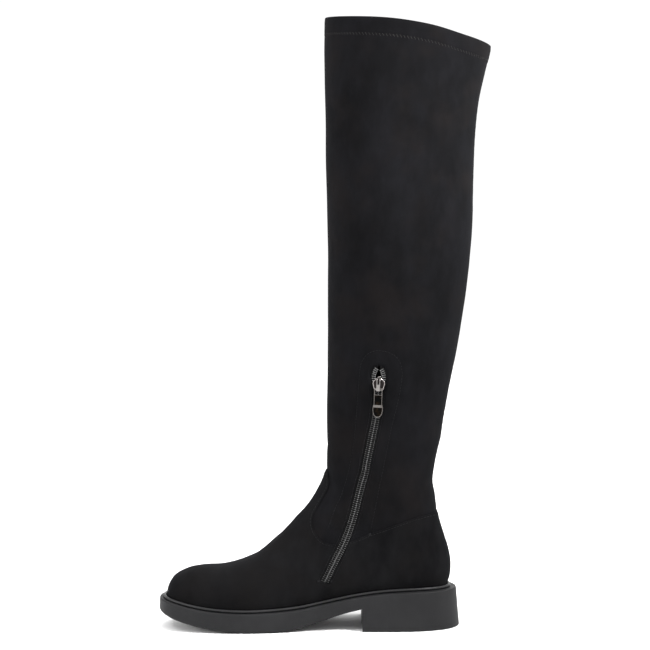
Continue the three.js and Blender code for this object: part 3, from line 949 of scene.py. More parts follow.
@dataclass(frozen=True)
class MetalFinish:
    """Polished plated metal with fine scratches and a few dull spots."""

    name: str
    colour: Colour = (174, 168, 166)
    dull: Colour = (136, 130, 128)
    roughness: float = 0.2

    def material(self) -> Material:
        """Makes the material.

        Returns:
            The material.
        """
        graph = Graph(self.name)
        spots = graph.ramp(graph.noise(1.8, 4, 0.6), 0.45, 0.75)
        scratches = graph.noise(0.3, 3, 0.6, graph.stretched((1.0, 6.0, 0.4)))
        return graph.finish(
            Base_Color=graph.between(spots, self.colour, self.dull),
            Metallic=1.0,
            Roughness=graph.scaled(spots, 0.16, self.roughness),
            Normal=graph.bump(scratches, 0.12, 0.05),
        )


@dataclass(frozen=True)
class EnamelFinish:
    """Glossy black enamel that fills the hollows of the pull tab, with warm patches of painted reflection."""

    name: str
    colour: Colour = (3, 3, 3)
    # The warm brown is a painted reflection.
    warm: Colour = (30, 21, 11)

    def material(self) -> Material:
        """Makes the material.

        Returns:
            The material.
        """
        graph = Graph(self.name)
        # Clouds of the warm colour: painted reflection.
        clouds = graph.ramp(graph.noise(3.0, 3, 0.6), 0.48, 0.85)
        return graph.finish(
            Base_Color=graph.between(clouds, self.colour, self.warm),
            Roughness=graph.scaled(clouds, 0.08, 0.16),
            Specular_IOR_Level=0.03,
            Normal=graph.bump(graph.noise(1.2, 2), 0.08, 0.1),
        )


@dataclass(frozen=True)
class CoilFinish:
    """Nylon zip coil: dark and shiny, with a painted highlight on its crowns."""

    name: str
    colour: Colour = (14, 14, 15)
    # The paler colour is a painted highlight where the crowns would catch the light.
    painted_highlight: Colour = (34, 34, 34)

    def material(self) -> Material:
        """Makes the material.

        Returns:
            The material.
        """
        graph = Graph(self.name)
        geometry = graph.node("ShaderNodeNewGeometry")
        # Crowns found by pointiness get the paler colour: painted highlight.
        highlit_crowns = graph.ramp(geometry.outputs["Pointiness"], 0.5, 0.62)
        spots = graph.noise(1.6, 3, 0.6)
        painted_highlight = graph.maths("MULTIPLY", highlit_crowns, graph.maths("ADD", spots, 0.3))
        return graph.finish(
            Base_Color=graph.between(painted_highlight, self.colour, self.painted_highlight),
            Roughness=graph.scaled(spots, 0.2, 0.28),
            Specular_IOR_Level=0.2,
            Normal=graph.bump(graph.noise(0.4, 2), 0.1, 0.05),
        )


@dataclass(frozen=True)
class TapeFinish:
    """Woven zip tape: fine slanting ribs, kept near black as painted shade in the slot."""

    name: str
    # Near-black colours stand in for the shadow between the slot's edges and the coil: painted shade.
    colour: Colour = (5, 5, 6)
    rib: Colour = (15, 15, 16)

    def material(self) -> Material:
        """Makes the material.

        Returns:
            The material.
        """
        graph = Graph(self.name)
        ribs = graph.waves(0.75, "Z")
        yarns = graph.waves(0.5, "Y")
        strong, faint = graph.maths("MULTIPLY", ribs, 0.9), graph.maths("MULTIPLY", yarns, 0.5)
        weave = graph.maths("MAXIMUM", strong, faint)
        fluff = graph.noise(1.0, 3, 0.6)
        mixed = graph.maths("MULTIPLY", weave, graph.maths("ADD", fluff, 0.2))
        return graph.finish(
            Base_Color=graph.between(mixed, self.colour, self.rib),
            Roughness=0.85,
            Specular_IOR_Level=0.2,
            Sheen_Weight=0.1,
            Normal=graph.bump(weave, 0.5, 0.2),
        )


@dataclass(frozen=True)
class ThreadFinish:
    """Twisted sewing thread."""

    name: str
    colour: Colour = (17, 17, 18)
    fuzz: Colour = (33, 33, 35)

    def material(self) -> Material:
        """Makes the material.

        Returns:
            The material.
        """
        graph = Graph(self.name)
        twist = graph.waves(0.28, "DIAGONAL")
        fuzz = graph.noise(0.8, 3, 0.6)
        mixed = graph.maths("MULTIPLY", twist, fuzz)
        return graph.finish(
            Base_Color=graph.between(mixed, self.colour, self.fuzz),
            Roughness=0.7,
            Specular_IOR_Level=0.1,
            Normal=graph.bump(twist, 0.5, 0.08),
        )


@dataclass(frozen=True)
class SockFinish:
    """Padded textile sock lining, flattened where the foot presses."""

    name: str
    colour: Colour = (30, 29, 30)
    pressed: Colour = (48, 46, 46)

    def material(self) -> Material:
        """Makes the material.

        Returns:
            The material.
        """
        graph = Graph(self.name)
        patches = graph.ramp(graph.noise(30, 3, 0.5), 0.4, 0.7)
        threads = graph.maths("MULTIPLY", graph.waves(0.9, "X"), graph.waves(0.9, "Y"))
        mixed = graph.mixture(patches, 0.5, threads, 0.4)
        return graph.finish(
            Base_Color=graph.between(mixed, self.colour, self.pressed),
            Roughness=0.9,
            Specular_IOR_Level=0.2,
            Normal=graph.bump(threads, 0.35, 0.15),
        )


@dataclass(frozen=True)
class FloorFinish:
    """Plain white paper sweep."""

    name: str
    colour: Colour = (250, 250, 250)
    pale: Colour = (253, 253, 253)

    def material(self) -> Material:
        """Makes the material.

        Returns:
            The material.
        """
        graph = Graph(self.name)
        mottle = graph.ramp(graph.noise(300, 2), 0.3, 0.7)
        return graph.finish(
            Base_Color=graph.between(mottle, self.colour, self.pale),
            Roughness=0.95,
            Specular_IOR_Level=0.1,
        )


# ---------------------------------------------------------------- relief of the leather
@dataclass(frozen=True)
class Crease:
    """A soft trough across one side of the boot, or a ridge where its depth is negative."""

    side: Side
    path: Line
    depth: float
    width: float


CREASES: tuple[Crease, ...] = (
    # ankle, medial side, in front of the zip
    Crease(Side.MEDIAL, ((-61.5, 150), (-62.5, 132), (-66, 112)), 0.8, 4.5),
    Crease(Side.MEDIAL, ((-68, 150), (-70, 134), (-74, 118)), -0.7, 4.0),
    Crease(Side.MEDIAL, ((-76, 166), (-66, 160), (-56, 157)), 0.5, 5.0),
    # ankle, medial side, behind the zip
    Crease(Side.MEDIAL, ((-31, 130), (-33, 112)), 0.6, 4.0),
    Crease(Side.MEDIAL, ((-22, 152), (-6, 146), (14, 150)), 0.6, 7.0),
    Crease(Side.MEDIAL, ((-16, 172), (2, 166), (24, 172)), -0.5, 7.0),
    Crease(Side.MEDIAL, ((-14, 208), (4, 196), (20, 192)), 0.7, 8.0),
    Crease(Side.MEDIAL, ((-20, 125), (-2, 118), (22, 122)), -0.5, 7.0),
    # vamp and toe, medial side
    Crease(Side.MEDIAL, ((-118, 78), (-104, 62), (-96, 48)), 0.7, 9.0),
    Crease(Side.MEDIAL, ((-142, 62), (-132, 48), (-128, 36)), 0.6, 8.0),
    Crease(Side.MEDIAL, ((-100, 98), (-92, 84), (-86, 66)), -0.6, 8.0),
    # calf and thigh, medial side
    Crease(Side.MEDIAL, ((-60, 298), (-36, 286), (-14, 290)), 0.5, 12.0),
    Crease(Side.MEDIAL, ((20, 330), (-4, 318), (-30, 326)), -0.5, 14.0),
    Crease(Side.MEDIAL, ((-66, 402), (-30, 394), (6, 404)), 0.5, 16.0),
    Crease(Side.MEDIAL, ((40, 438), (14, 430), (-16, 440)), 0.6, 14.0),
    # ankle, vamp and calf, lateral side
    Crease(Side.LATERAL, ((-74, 160), (-52, 150), (-28, 154)), 0.8, 6.5),
    Crease(Side.LATERAL, ((-70, 138), (-46, 130), (-24, 136)), -0.7, 6.0),
    Crease(Side.LATERAL, ((-14, 176), (6, 164), (26, 166)), 0.8, 7.0),
    Crease(Side.LATERAL, ((-10, 206), (6, 196), (18, 192)), 0.7, 7.5),
    Crease(Side.LATERAL, ((-112, 86), (-100, 70), (-92, 54)), 0.8, 8.0),
    Crease(Side.LATERAL, ((-138, 66), (-128, 52), (-122, 38)), 0.7, 8.0),
    Crease(Side.LATERAL, ((-64, 290), (-30, 276), (10, 288)), 0.5, 14.0),
    Crease(Side.LATERAL, ((34, 420), (0, 406), (-40, 418)), 0.6, 16.0),
)


@dataclass
class Relief:
    """How far the outer skin stands off its plain form: panels, stitch lines, hem, creases and slackness."""

    form: Form
    slot_half: float = 4.4
    head_half: float = 7.2
    head_from: float = 206.0
    head_z: float = 232.8
    edge_roll: float = 0.75
    edge_width: float = 1.2
    edge_stitch: float = 5.7
    stitch_widening: float = 0.25
    hem: float = 15.0
    foot_rise: float = 0.3
    leg_sink: float = 0.75
    slack: float = 0.55

    def slot(self) -> Array:
        """Outline of the zip's opening in the side view."""
        line = self.form.zip_line
        spread = np.clip((line[:, 1] - self.head_from) / (line[-1, 1] - self.head_from), 0, 1)
        half = self.slot_half + (self.head_half - self.slot_half) * spread * spread * (3 - 2 * spread)
        front, back = shifted(line, half), shifted(line, -half)
        turn = np.linspace(math.pi, 0, 15)
        arch = np.stack([
            line[-1, 0] + np.cos(turn) * self.head_half, self.head_z + np.sin(turn) * self.head_half,
        ], axis=1)
        return np.vstack([front, arch, back[::-1]])

    def zip_rows(self) -> Array:
        """The edge stitching round the slot, from its front lower end over the head to its back one."""
        line = self.form.zip_line
        turn = np.linspace(math.pi, 0, 13)[1:-1]
        reach, head = self.edge_stitch, 1 + self.stitch_widening
        arch = np.stack([
            line[-1, 0] + np.cos(turn) * reach * head, line[-1, 1] + np.sin(turn) * reach * head,
        ], axis=1)
        spread = np.clip((line[:, 1] - self.head_from) / (line[-1, 1] - self.head_from), 0, 1)
        half = reach * (1 + self.stitch_widening * spread * spread * (3 - 2 * spread))
        return np.vstack([shifted(line, half), arch, shifted(line, -half)[::-1]])

    def heights(self, points: Array, foot: bool) -> Array:
        """Rise of the skin at its points.

        Args:
            points: Points of the plain skin, as rows.
            foot: Whether they belong to the foot part.

        Returns:
            The rise of each point in millimetres.
        """
        view = points[:, 1:]
        medial = points[:, 0] > 0
        rise = self.slackness(points)
        for crease in CREASES:
            here = medial == (crease.side is Side.MEDIAL)
            gap = distance_to(view[here], rounded_line(crease.path, 5))
            rise[here] -= crease.depth * np.exp(-((gap / crease.width) ** 2))
        rise[medial] += self.zip_relief(view[medial])
        gap = distance_to(view, self.form.seam)
        if foot:
            rise += self.foot_rise + 0.18 * np.exp(-(((gap - 3.2) / 1.4) ** 2))
            rise -= 0.35 * np.exp(-((gap / 0.7) ** 2)) + 0.22 * np.exp(-(((gap - 1.6) / 0.45) ** 2))
        else:
            rise -= self.leg_sink * np.exp(-((gap / 3.0) ** 2))
            rise += self.leg_relief(points)
        return rise

    def slackness(self, points: Array) -> Array:
        """Broad soft waves of a stretched fabric."""
        x, y, z = (points / 10).T
        wave = np.sin(0.31 * z + 0.42 * y + 0.9) * np.sin(0.23 * z - 0.35 * y + 0.3 * x)
        finer = np.sin(0.77 * z - 0.61 * y + 0.5 * x + 1.7) * np.sin(0.52 * y + 0.48 * x + 0.29 * z)
        return self.slack * (0.6 * wave + 0.35 * finer)

    def zip_relief(self, view: Array) -> Array:
        """Rolled edges of the slot, its stitching, and the facing behind it."""
        gap = distance_to(view, self.slot())
        rows = distance_to(view, self.zip_rows())
        facing = distance_to(view, self.form.facing)
        within = inside(view, self.form.facing)
        rise = -self.edge_roll * np.exp(-((gap / self.edge_width) ** 2))
        rise += 0.22 * np.exp(-(((gap - 1.9) / 1.1) ** 2)) - 0.28 * np.exp(-((rows / 0.6) ** 2))
        rise -= 0.3 * np.exp(-((facing / 0.9) ** 2))
        return rise + np.where(within, 0.28 * (1 - np.exp(-((facing / 2.2) ** 2))), 0.0)

    def leg_relief(self, points: Array) -> Array:
        """Hem below the topline and seam down the back of the leg."""
        below = line_height(self.form.topline, points[:, 1]) - points[:, 2]
        folded = 1 / (1 + np.exp((below - self.hem) / 0.8))
        rise = 0.26 * folded - 0.3 * np.exp(-(((below - self.hem) / 1.1) ** 2))
        rise += 0.2 * np.exp(-(((below - 4.0) / 3.0) ** 2))
        places = np.arange(self.form.last + 1.0)
        row = self.form.section(np.interp(points[:, 2], self.form.sections[:, 3], places))
        back = np.maximum(row[:, 2] - points[:, 1], 0)
        behind = (back < 6) & (points[:, 2] > 90)
        away = np.abs(points[:, 0] - row[:, 5])
        pucker = 0.12 * (1 + np.cos(2 * math.pi * points[:, 2] / 3.4)) * np.exp(-(((away - 1.7) / 0.9) ** 2))
        seam = -0.55 * np.exp(-((away / 0.8) ** 2)) + 0.18 * np.exp(-(((away - 1.8) / 0.9) ** 2)) - pucker
        return rise + np.where(behind, seam, 0.0)


# ---------------------------------------------------------------- leg and foot part
@dataclass
class Shell:
    """A skin with a true wall: an outer grid that carries the relief, folded over at the topline."""

    form: Form
    relief: Relief
    wall: float = 1.8
    lowest: float = 9.0
    fold_steps: int = 5

    def angles(self, fine: bool) -> Array:
        """Angles round the boot, closer together where the zip and the seam are."""
        if not fine:
            return np.radians(np.arange(-180, 180, 3.0))
        edges = (
            (-180, -176, 0.7), (-176, -4, 2.4), (-4, 4, 1.0), (4, 46, 2.0), (46, 102, 0.85),
            (102, 174, 2.2), (174, 180, 0.7),
        )
        return np.radians(np.concatenate([np.arange(a, b - step * 0.3, step) for a, b, step in edges]))

    def rows(self) -> Array:
        """Places along the leg, closer together round the ankle."""
        parts = (np.arange(self.lowest, 13, 1 / 6), np.arange(13, 26.5, 1 / 11), np.arange(26.5, 29, 1 / 14),
                 np.arange(29, 33, 1 / 16), np.arange(33, 36.001, 1 / 16))
        return np.concatenate(parts)

    def rise(self, points: Array, normals: Array, foot: bool) -> Array:
        """A grid of skin points with the relief put on."""
        flat = points.reshape(-1, 3)
        heights = self.relief.heights(flat, foot).reshape(points.shape[:-1])
        return points + normals * heights[..., None]

    def leg(self, name: str) -> Piece:
        """The leg's tube, whole down to its lowest section, with its topline rolled over.

        Args:
            name: Name of the object.

        Returns:
            The object; faces of the lining have material index 1.
        """
        angles = self.angles(True)
        top = self.form.level(angles, lambda y: line_height(self.form.topline, y) - self.wall / 2, 26.0)
        rows = self.rows()
        share = (rows - rows[0]) / (rows[-1] - rows[0])
        v = rows[0] + share[:, None] * (top - rows[0])[None, :]
        angle = np.broadcast_to(angles, v.shape)
        plain, normals = self.form.skin(v, angle), self.form.outward(v, angle)
        outer = self.rise(plain, normals, False)
        inner_rows = np.arange(0, len(rows), 3)[::-1]
        inner = (plain - normals * self.wall)[inner_rows]
        edge_out, edge_in = outer[-1], (plain - normals * self.wall)[-1]
        upwards = unit(plain[-1] - plain[-4])
        middle, reach = (edge_out + edge_in) / 2, (edge_out - edge_in) / 2
        size = np.linalg.norm(reach, axis=-1, keepdims=True)
        turns = np.linspace(0, math.pi, self.fold_steps + 2)[1:-1]
        fold = [middle + reach * math.cos(t) + upwards * size * math.sin(t) for t in turns]
        if inner_rows[0] != len(rows) - 1:
            inner = np.concatenate([edge_in[None], inner])
        grid = np.concatenate([outer, np.array(fold), inner])
        count, columns, _ = grid.shape
        faces = grid_faces(count, columns, True)
        last = (count - 1) * columns
        faces += [(last + k, last + (k + 1) % columns, (k + 1) % columns, k) for k in range(columns)]
        made = mesh_object(name, grid.reshape(-1, 3), faces)
        slots = np.zeros(len(faces), int)
        slots[(len(outer) + self.fold_steps - 1) * columns:] = 1
        made.data.polygons.foreach_set("material_index", slots.tolist())
        return made

    def foot(self, name: str, lining: Material, suede: Material) -> Piece:
        """The foot part's shell, whole from the toe up to the shaft's ankle.

        Args:
            name: Name of the object.
            lining: Finish of its inner faces.
            suede: Finish of its outer faces.

        Returns:
            The object.
        """
        v = np.concatenate([np.arange(0.02, 3, 1 / 12), np.arange(3, 24.001, 1 / 12)])
        spans = ((-180, 40, 1.9), (40, 140, 1.0), (140, 180, 1.9))
        angles = np.radians(np.concatenate([np.arange(*span) for span in spans]))
        plain = self.form.skin(v[:, None], angles[None, :])
        normals = self.form.outward(v[:, None], angles[None, :])
        outer = tube_object(name, self.rise(plain, normals, True))
        v_in = np.concatenate([np.arange(0.9, 3, 1 / 4), np.arange(3, 24.3, 1 / 3)])
        angles_in = self.angles(False)
        hollow = self.form.skin(v_in[:, None], angles_in[None, :])
        hollow = hollow - self.form.outward(v_in[:, None], angles_in[None, :]) * self.wall
        inner = tube_object(name + "_hollow", hollow)
        for piece in (outer, inner):
            piece.data.materials.append(suede)
            piece.data.materials.append(lining)
        inner.data.polygons.foreach_set("material_index", [1] * len(inner.data.polygons))
        combine(outer, inner, "DIFFERENCE")
        return outer


@dataclass
class Leather:
    """The foot part and the leg, cut where they meet, at the sole and for the zip."""

    form: Form
    relief: Relief
    suede: Material
    foot_suede: Material
    lining: Material
    sole_gap: float = 0.3

    def slot_tool(self) -> Piece:
        """What cuts the zip's opening out of the medial side."""
        return prism("slot_tool", self.relief.slot(), 8.0, SPAN)

    def leg(self) -> Piece:
        """The leg above the foot part.

        Returns:
            The finished piece.
        """
        leg = Shell(self.form, self.relief).leg("leg")
        leg.data.materials.append(self.suede)
        leg.data.materials.append(self.lining)
        below = np.vstack([self.form.seam, [(60, 104.2), (60, -40), (-260, -40), (-260, 141.5)]])
        combine(leg, prism("below_seam", below, -SPAN, SPAN), "DIFFERENCE")
        combine(leg, self.slot_tool(), "DIFFERENCE")
        return self.done(leg, "shaft")

    def foot(self) -> Piece:
        """The foot part under the leg.

        Returns:
            The finished piece.
        """
        foot = Shell(self.form, self.relief).foot("foot_part", self.lining, self.foot_suede)
        above = np.vstack([self.form.seam, [(60, 104.2), (60, 300), (-260, 300), (-260, 141.5)]])
        ledge = self.form.ledge + (0, self.sole_gap)
        under = np.vstack([ledge, [(60, -60), (-260, -60)]])
        combine(foot, prism("above_seam", above, -SPAN, SPAN), "DIFFERENCE")
        combine(foot, prism("under_ledge", under, -SPAN, SPAN), "DIFFERENCE")
        combine(foot, self.slot_tool(), "DIFFERENCE")
        return self.done(foot, "upper")

    def done(self, piece: Piece, node: str) -> Piece:
        """Smooths a cut piece and ties it to the frame.

        Args:
            piece: The cut piece.
            node: The CAD node that it stands for.

        Returns:
            The same piece.
        """
        soften(piece, 38.0)
        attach(piece, Body.BOOT.value)
        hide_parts(node)
        return piece


# ---------------------------------------------------------------- sole, bead and sock
def offset_loop(loop: Array, distance: Array | float) -> Array:
    """A closed (x, y) loop moved outwards, for a loop that runs toe, medial side, heel."""
    along = unit(np.roll(loop, -1, axis=0) - np.roll(loop, 1, axis=0))
    return loop + np.stack([along[:, 1], -along[:, 0]], axis=1) * np.reshape(distance, (-1, 1))


def matched_halves(loop: Array, count: int) -> tuple[Array, Array, Array]:
    """Both sides of a closed loop at shared stations.

    Args:
        loop: Its (x, y) points from the toe over the medial side.
        count: Number of stations from toe to heel.

    Returns:
        The stations' Y, and the X of the medial and the lateral side there.
    """
    toe, heel = int(np.argmin(loop[:, 1])), int(np.argmax(loop[:, 1]))
    turned = np.roll(loop, -toe, axis=0)
    split = (heel - toe) % len(loop)
    medial, lateral = turned[:split + 1], np.vstack([turned[:1], turned[split:][::-1]])
    turn = np.linspace(0, math.pi, count)
    y = loop[toe, 1] + (loop[heel, 1] - loop[toe, 1]) * (1 - np.cos(turn)) / 2
    sides = []
    for half in (medial, lateral):
        order = np.argsort(half[:, 1])
        sides.append(np.interp(y, half[order, 1], half[order, 0]))
    return y, sides[0], sides[1]


@dataclass
class UnitSole:
    """Moulded unit sole: rounded ledge, flared wall, raised toe, and a heel block with an upright breast."""

    form: Form
    rubber: Material
    rise: float = 3.3
    toe: float = 6.5
    heel: float = 8.2
    toe_flare: float = 1.4
    heel_flare: float = 3.2
    flare_from: float = -150.0
    flare_to: float = 0.0
    foot_level: float = -4.0
    top_round: float = 1.3
    toe_round: float = 3.0
    heel_round: float = 1.0
    breast: float = -44.8
    shank_from: float = -80.0
    shank_run: float = 22.0
    round_from: float = -110.0
    round_run: float = 45.0
    groove_step: float = 9.0
    groove_margin: float = 1.5
    groove_depth: float = 1.6
    groove_half: float = 1.6
    groove_top_half: float = 1.4

    def shares(self, y: Array) -> Array:
        """How far y is on the way from toe sizes to heel sizes."""
        t = np.clip((y - self.flare_from) / (self.flare_to - self.flare_from), 0, 1)
        return t * t * (3 - 2 * t)

    def bottom(self, y: Array) -> Array:
        """Height that the wall's lower rounding starts from."""
        tread = line_height(self.form.tread, y)
        over = np.clip((y - self.shank_from) / self.shank_run, 0, 1)
        return tread * (1 - over)

    def ring(
        self, loop: Array, down: float, raised: float, inset: float, level: float | None,
    ) -> Array:
        """One level of the wall.

        Args:
            loop: The upper's feather line.
            down: How far down from the ledge to the bottom it is, 0 to 1.
            raised: Rise above that, as a share of the edge's rounding.
            inset: Inset there, as a share of the same rounding.
            level: A fixed height in place of the one above, or None.

        Returns:
            The level's points.
        """
        share = self.shares(loop[:, 1])
        edge = self.toe + (self.heel - self.toe) * share
        flare = self.toe_flare + (self.heel_flare - self.toe_flare) * share
        y = offset_loop(loop, edge)[:, 1]
        top, bottom = line_height(self.form.ledge, y), self.bottom(y)
        forward = 1 - np.clip((y - self.round_from) / self.round_run, 0, 1)
        low_round = self.heel_round + (self.toe_round - self.heel_round) * forward
        radius = self.top_round if down < 0.5 else low_round
        z = top + (bottom - top) * down + raised * radius
        out = edge + flare * (top - z) / (top - self.foot_level) - inset * radius
        height = z if level is None else np.full(len(y), level)
        return np.column_stack([offset_loop(loop, out), height])

    def block(self) -> Piece:
        """The whole block before its underside is cut.

        Returns:
            A closed body taller than the sole.
        """
        loop = self.form.feather(self.rise)
        turns = np.linspace(0, math.pi / 2, 6)
        rings = [self.ring(loop, 0, 0, 1, 60.0)]
        rings += [self.ring(loop, 0, math.cos(t) - 1, 1 - math.sin(t), None) for t in turns]
        rings += [self.ring(loop, f, 0, 0, None) for f in (0.2, 0.35, 0.49, 0.62, 0.75)]
        rings += [self.ring(loop, 1, 1 - math.sin(t), 1 - math.cos(t), None) for t in turns]
        rings += [self.ring(loop, 1, 0, 1, -12.0)]
        return tube_object("unit_sole", np.array(rings))

    def grooves(self) -> Piece:
        """Shallow tread grooves across the forefoot and the heel, kept inside the edge.

        Returns:
            What cuts them.
        """
        loop = offset_loop(self.form.feather(self.rise), -self.groove_margin)
        levels = [np.column_stack([loop, np.full(len(loop), z)]) for z in (-5, 30)]
        inner = tube_object("groove_limit", np.array(levels))
        places = [y for y in np.arange(-205, 38, self.groove_step) if y < -88 or y > self.breast + 7]
        cuts = []
        for y in places:
            ground = float(line_height(self.form.tread, np.array([y]))[0]) if y < self.breast else 0.0
            top, low_half, high_half = self.groove_depth + ground, self.groove_half, self.groove_top_half
            outline = np.array([
                (y - low_half, -6), (y + low_half, -6), (y + high_half, top), (y - high_half, top),
            ])
            cuts.append(prism(f"groove_{len(cuts)}", outline, -SPAN, SPAN))
        tool = merged("grooves", cuts)
        combine(tool, inner, "INTERSECT")
        return tool

    def build(self) -> Piece:
        """The sole.

        Returns:
            The finished piece.
        """
        sole = self.block()
        sole.data.materials.append(self.rubber)
        tread = self.form.tread
        outline = np.vstack([
            tread, [(self.breast, 0), (60, 0)], self.form.ledge[::-1], [(-260, 28), (-260, 18)],
        ])
        combine(sole, prism("sole_outline", outline, -SPAN, SPAN), "INTERSECT")
        combine(sole, self.grooves(), "DIFFERENCE")
        soften(sole, 34.0)
        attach(sole, Body.BOOT.value)
        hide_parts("sole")
        return sole


@dataclass
class WeltBead:
    """Thin bead of rubber that lies in the corner between the upper and the ledge."""

    form: Form
    rubber: Material
    rise: float = 3.3
    middle: float = 1.75
    lift: float = 1.62
    half_width: float = 1.4
    half_height: float = 1.35
    sides: int = 16

    def build(self) -> Piece:
        """The bead.

        Returns:
            The finished piece.
        """
        loop = self.form.feather(self.rise)
        turn = np.arange(self.sides) * 2 * math.pi / self.sides
        sections = []
        for t in turn:
            placed = offset_loop(loop, self.middle + math.cos(t) * self.half_width)
            height = line_height(self.form.ledge, placed[:, 1]) + self.lift + math.sin(t) * self.half_height
            sections.append(np.column_stack([placed, height]))
        bead = sweep("welt_bead", np.stack(sections, axis=1))
        bead.data.materials.append(self.rubber)
        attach(bead, Body.BOOT.value)
        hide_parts("welt")
        return bead


@dataclass
class Insole:
    """Padded sock: a flat pad with rolled edges and a slightly domed top."""

    form: Form
    cloth: Material
    inset: float = 3.4
    under: float = 0.4
    thickness: float = 3.8
    roll: float = 1.4
    crown: float = 0.4
    stations: int = 120
    across: int = 18

    def build(self) -> Piece:
        """The insole.

        Returns:
            The finished piece.
        """
        loop = offset_loop(self.form.feather(0.3), -self.inset)
        y, medial, lateral = matched_halves(loop, self.stations)
        ledge = line_height(self.form.ledge, y)
        rings = []
        for k in range(self.stations):
            middle, half = (medial[k] + lateral[k]) / 2, max(abs(medial[k] - lateral[k]) / 2, 0.02)
            place = np.cos(np.linspace(0, math.pi, self.across))
            roll = min(self.roll, half)
            edge = np.sqrt(np.clip(1 - np.clip((np.abs(place) * half - half + roll) / roll, 0, 1) ** 2, 0, 1))
            tall = min(self.thickness, 1.2 * half + 0.4)
            low, high = ledge[k] + self.under, ledge[k] + self.under + tall
            belly = (low + high) / 2
            top = belly + (high - belly) * edge + self.crown * (1 - place**2) * min(half / 20, 1)
            base = belly - (belly - low) * edge
            x = middle + place * half
            upper = np.stack([x, np.full(self.across, y[k]), top], axis=1)
            lower = np.stack([x, np.full(self.across, y[k]), base], axis=1)[::-1][1:-1]
            rings.append(np.vstack([upper, lower]))
        pad = tube_object("insole_pad", np.array(rings))
        pad.data.materials.append(self.cloth)
        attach(pad, Body.BOOT.value)
        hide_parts("insole")
        return pad


# ---------------------------------------------------------------- zip
def plate(
    name: str, outlines: Sequence[Array], low: float, high: float, bevel: float, place: Matrix,
) -> Piece:
    """A flat plate with rounded edges.

    Args:
        name: Name of the object.
        outlines: Its outline, then those of its holes, in millimetres.
        low: Height of its back face.
        high: Height of its front face.
        bevel: Radius of its edges.
        place: Where its own frame stands.

    Returns:
        The object.
    """
    curve = bpy.data.curves.new(name, "CURVE")
    curve.dimensions = "2D"
    curve.fill_mode = "BOTH"
    for outline in outlines:
        spline = curve.splines.new("POLY")
        spline.points.add(len(outline) - 1)
        rows = np.column_stack([outline, np.zeros(len(outline)), np.ones(len(outline))])
        spline.points.foreach_set("co", rows.ravel().tolist())
        spline.use_cyclic_u = True
    curve.extrude = (high - low) / 2 - bevel
    curve.bevel_depth = bevel
    curve.bevel_resolution = 3
    curve.offset = -bevel
    shape = linked(name, curve)
    graph = bpy.context.evaluated_depsgraph_get()
    mesh = bpy.data.meshes.new_from_object(shape.evaluated_get(graph))
    bpy.data.objects.remove(shape)
    mesh.transform(place @ Matrix.Translation((0, 0, (high + low) / 2)))
    points = np.array([tuple(v.co) for v in mesh.vertices])
    faces = [tuple(face.vertices) for face in mesh.polygons]
    return weld(mesh_object(name, points, faces), 0.005)


def bent(points: Sequence[tuple[float, ...]], steps: int = 6) -> Array:
    """An outline of straight and curved runs.

    Args:
        points: (x, y) for a corner; (cx, cy, x, y) for a curve with one handle; six numbers for two handles.
        steps: Points in each curve.

    Returns:
        The outline's corners.
    """
    made: list[tuple[float, float]] = []
    for point in points:
        if len(point) == 2:
            made.append((point[0], point[1]))
            continue
        start = made[-1]
        for k in range(1, steps + 1):
            t = k / steps
            handles = [start, *[(point[i], point[i + 1]) for i in range(0, len(point), 2)]]
            while len(handles) > 1:
                pairs = zip(handles[:-1], handles[1:])
                handles = [(a[0] + (b[0] - a[0]) * t, a[1] + (b[1] - a[1]) * t) for a, b in pairs]
            made.append(handles[0])
    return np.array(made)


@dataclass
class ZipTapes:
    """Two woven tapes under the edges of the slot; they part above the slider."""

    form: Form
    skin: Surface
    cloth: Material
    half: float = 12.0
    depth: float = 2.15
    thickness: float = 0.85
    bottom: float = 37.0
    top: float = 250.0

    def build(self, rows: dict[int, Array]) -> Piece:
        """The two tapes in one piece.

        Args:
            rows: The middle line of each row of teeth, by side of the zip (-1 front, 1 back).

        Returns:
            The finished piece.
        """
        line = self.form.zip_line
        ends = [(line[0, 0] - 3, self.bottom)], [(line[-1, 0], self.top)]
        line = resample(np.vstack([ends[0], line, ends[1]]), 2.0)
        tapes = []
        for side, row in rows.items():
            away = np.interp(line[:, 1], row[:, 1], np.abs(row[:, 2]))
            columns = []
            for share in np.linspace(0, 1, 9):
                offset = (away - 1.4) * (1 - share) + self.half * share
                columns.append(shifted(line, -side * offset))
            tapes.append(self.ribbon(f"tape_{side}", columns))
        tape = merged("zip_tape_woven", tapes)
        tape.data.materials.clear()
        tape.data.materials.append(self.cloth)
        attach(tape, Body.BOOT.value)
        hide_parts("zip_tape")
        return face_out(tape)

    def ribbon(self, name: str, columns: Sequence[Array]) -> Piece:
        """One tape through its side-view columns."""
        tops, backs = [], []
        for column in columns:
            points, normals = self.skin.facing(column, Side.MEDIAL)
            tops.append(points - normals * self.depth)
            backs.append(points - normals * (self.depth + self.thickness))
        rings = np.stack([*tops, *backs[::-1]], axis=1)
        return tube_object(name, rings)


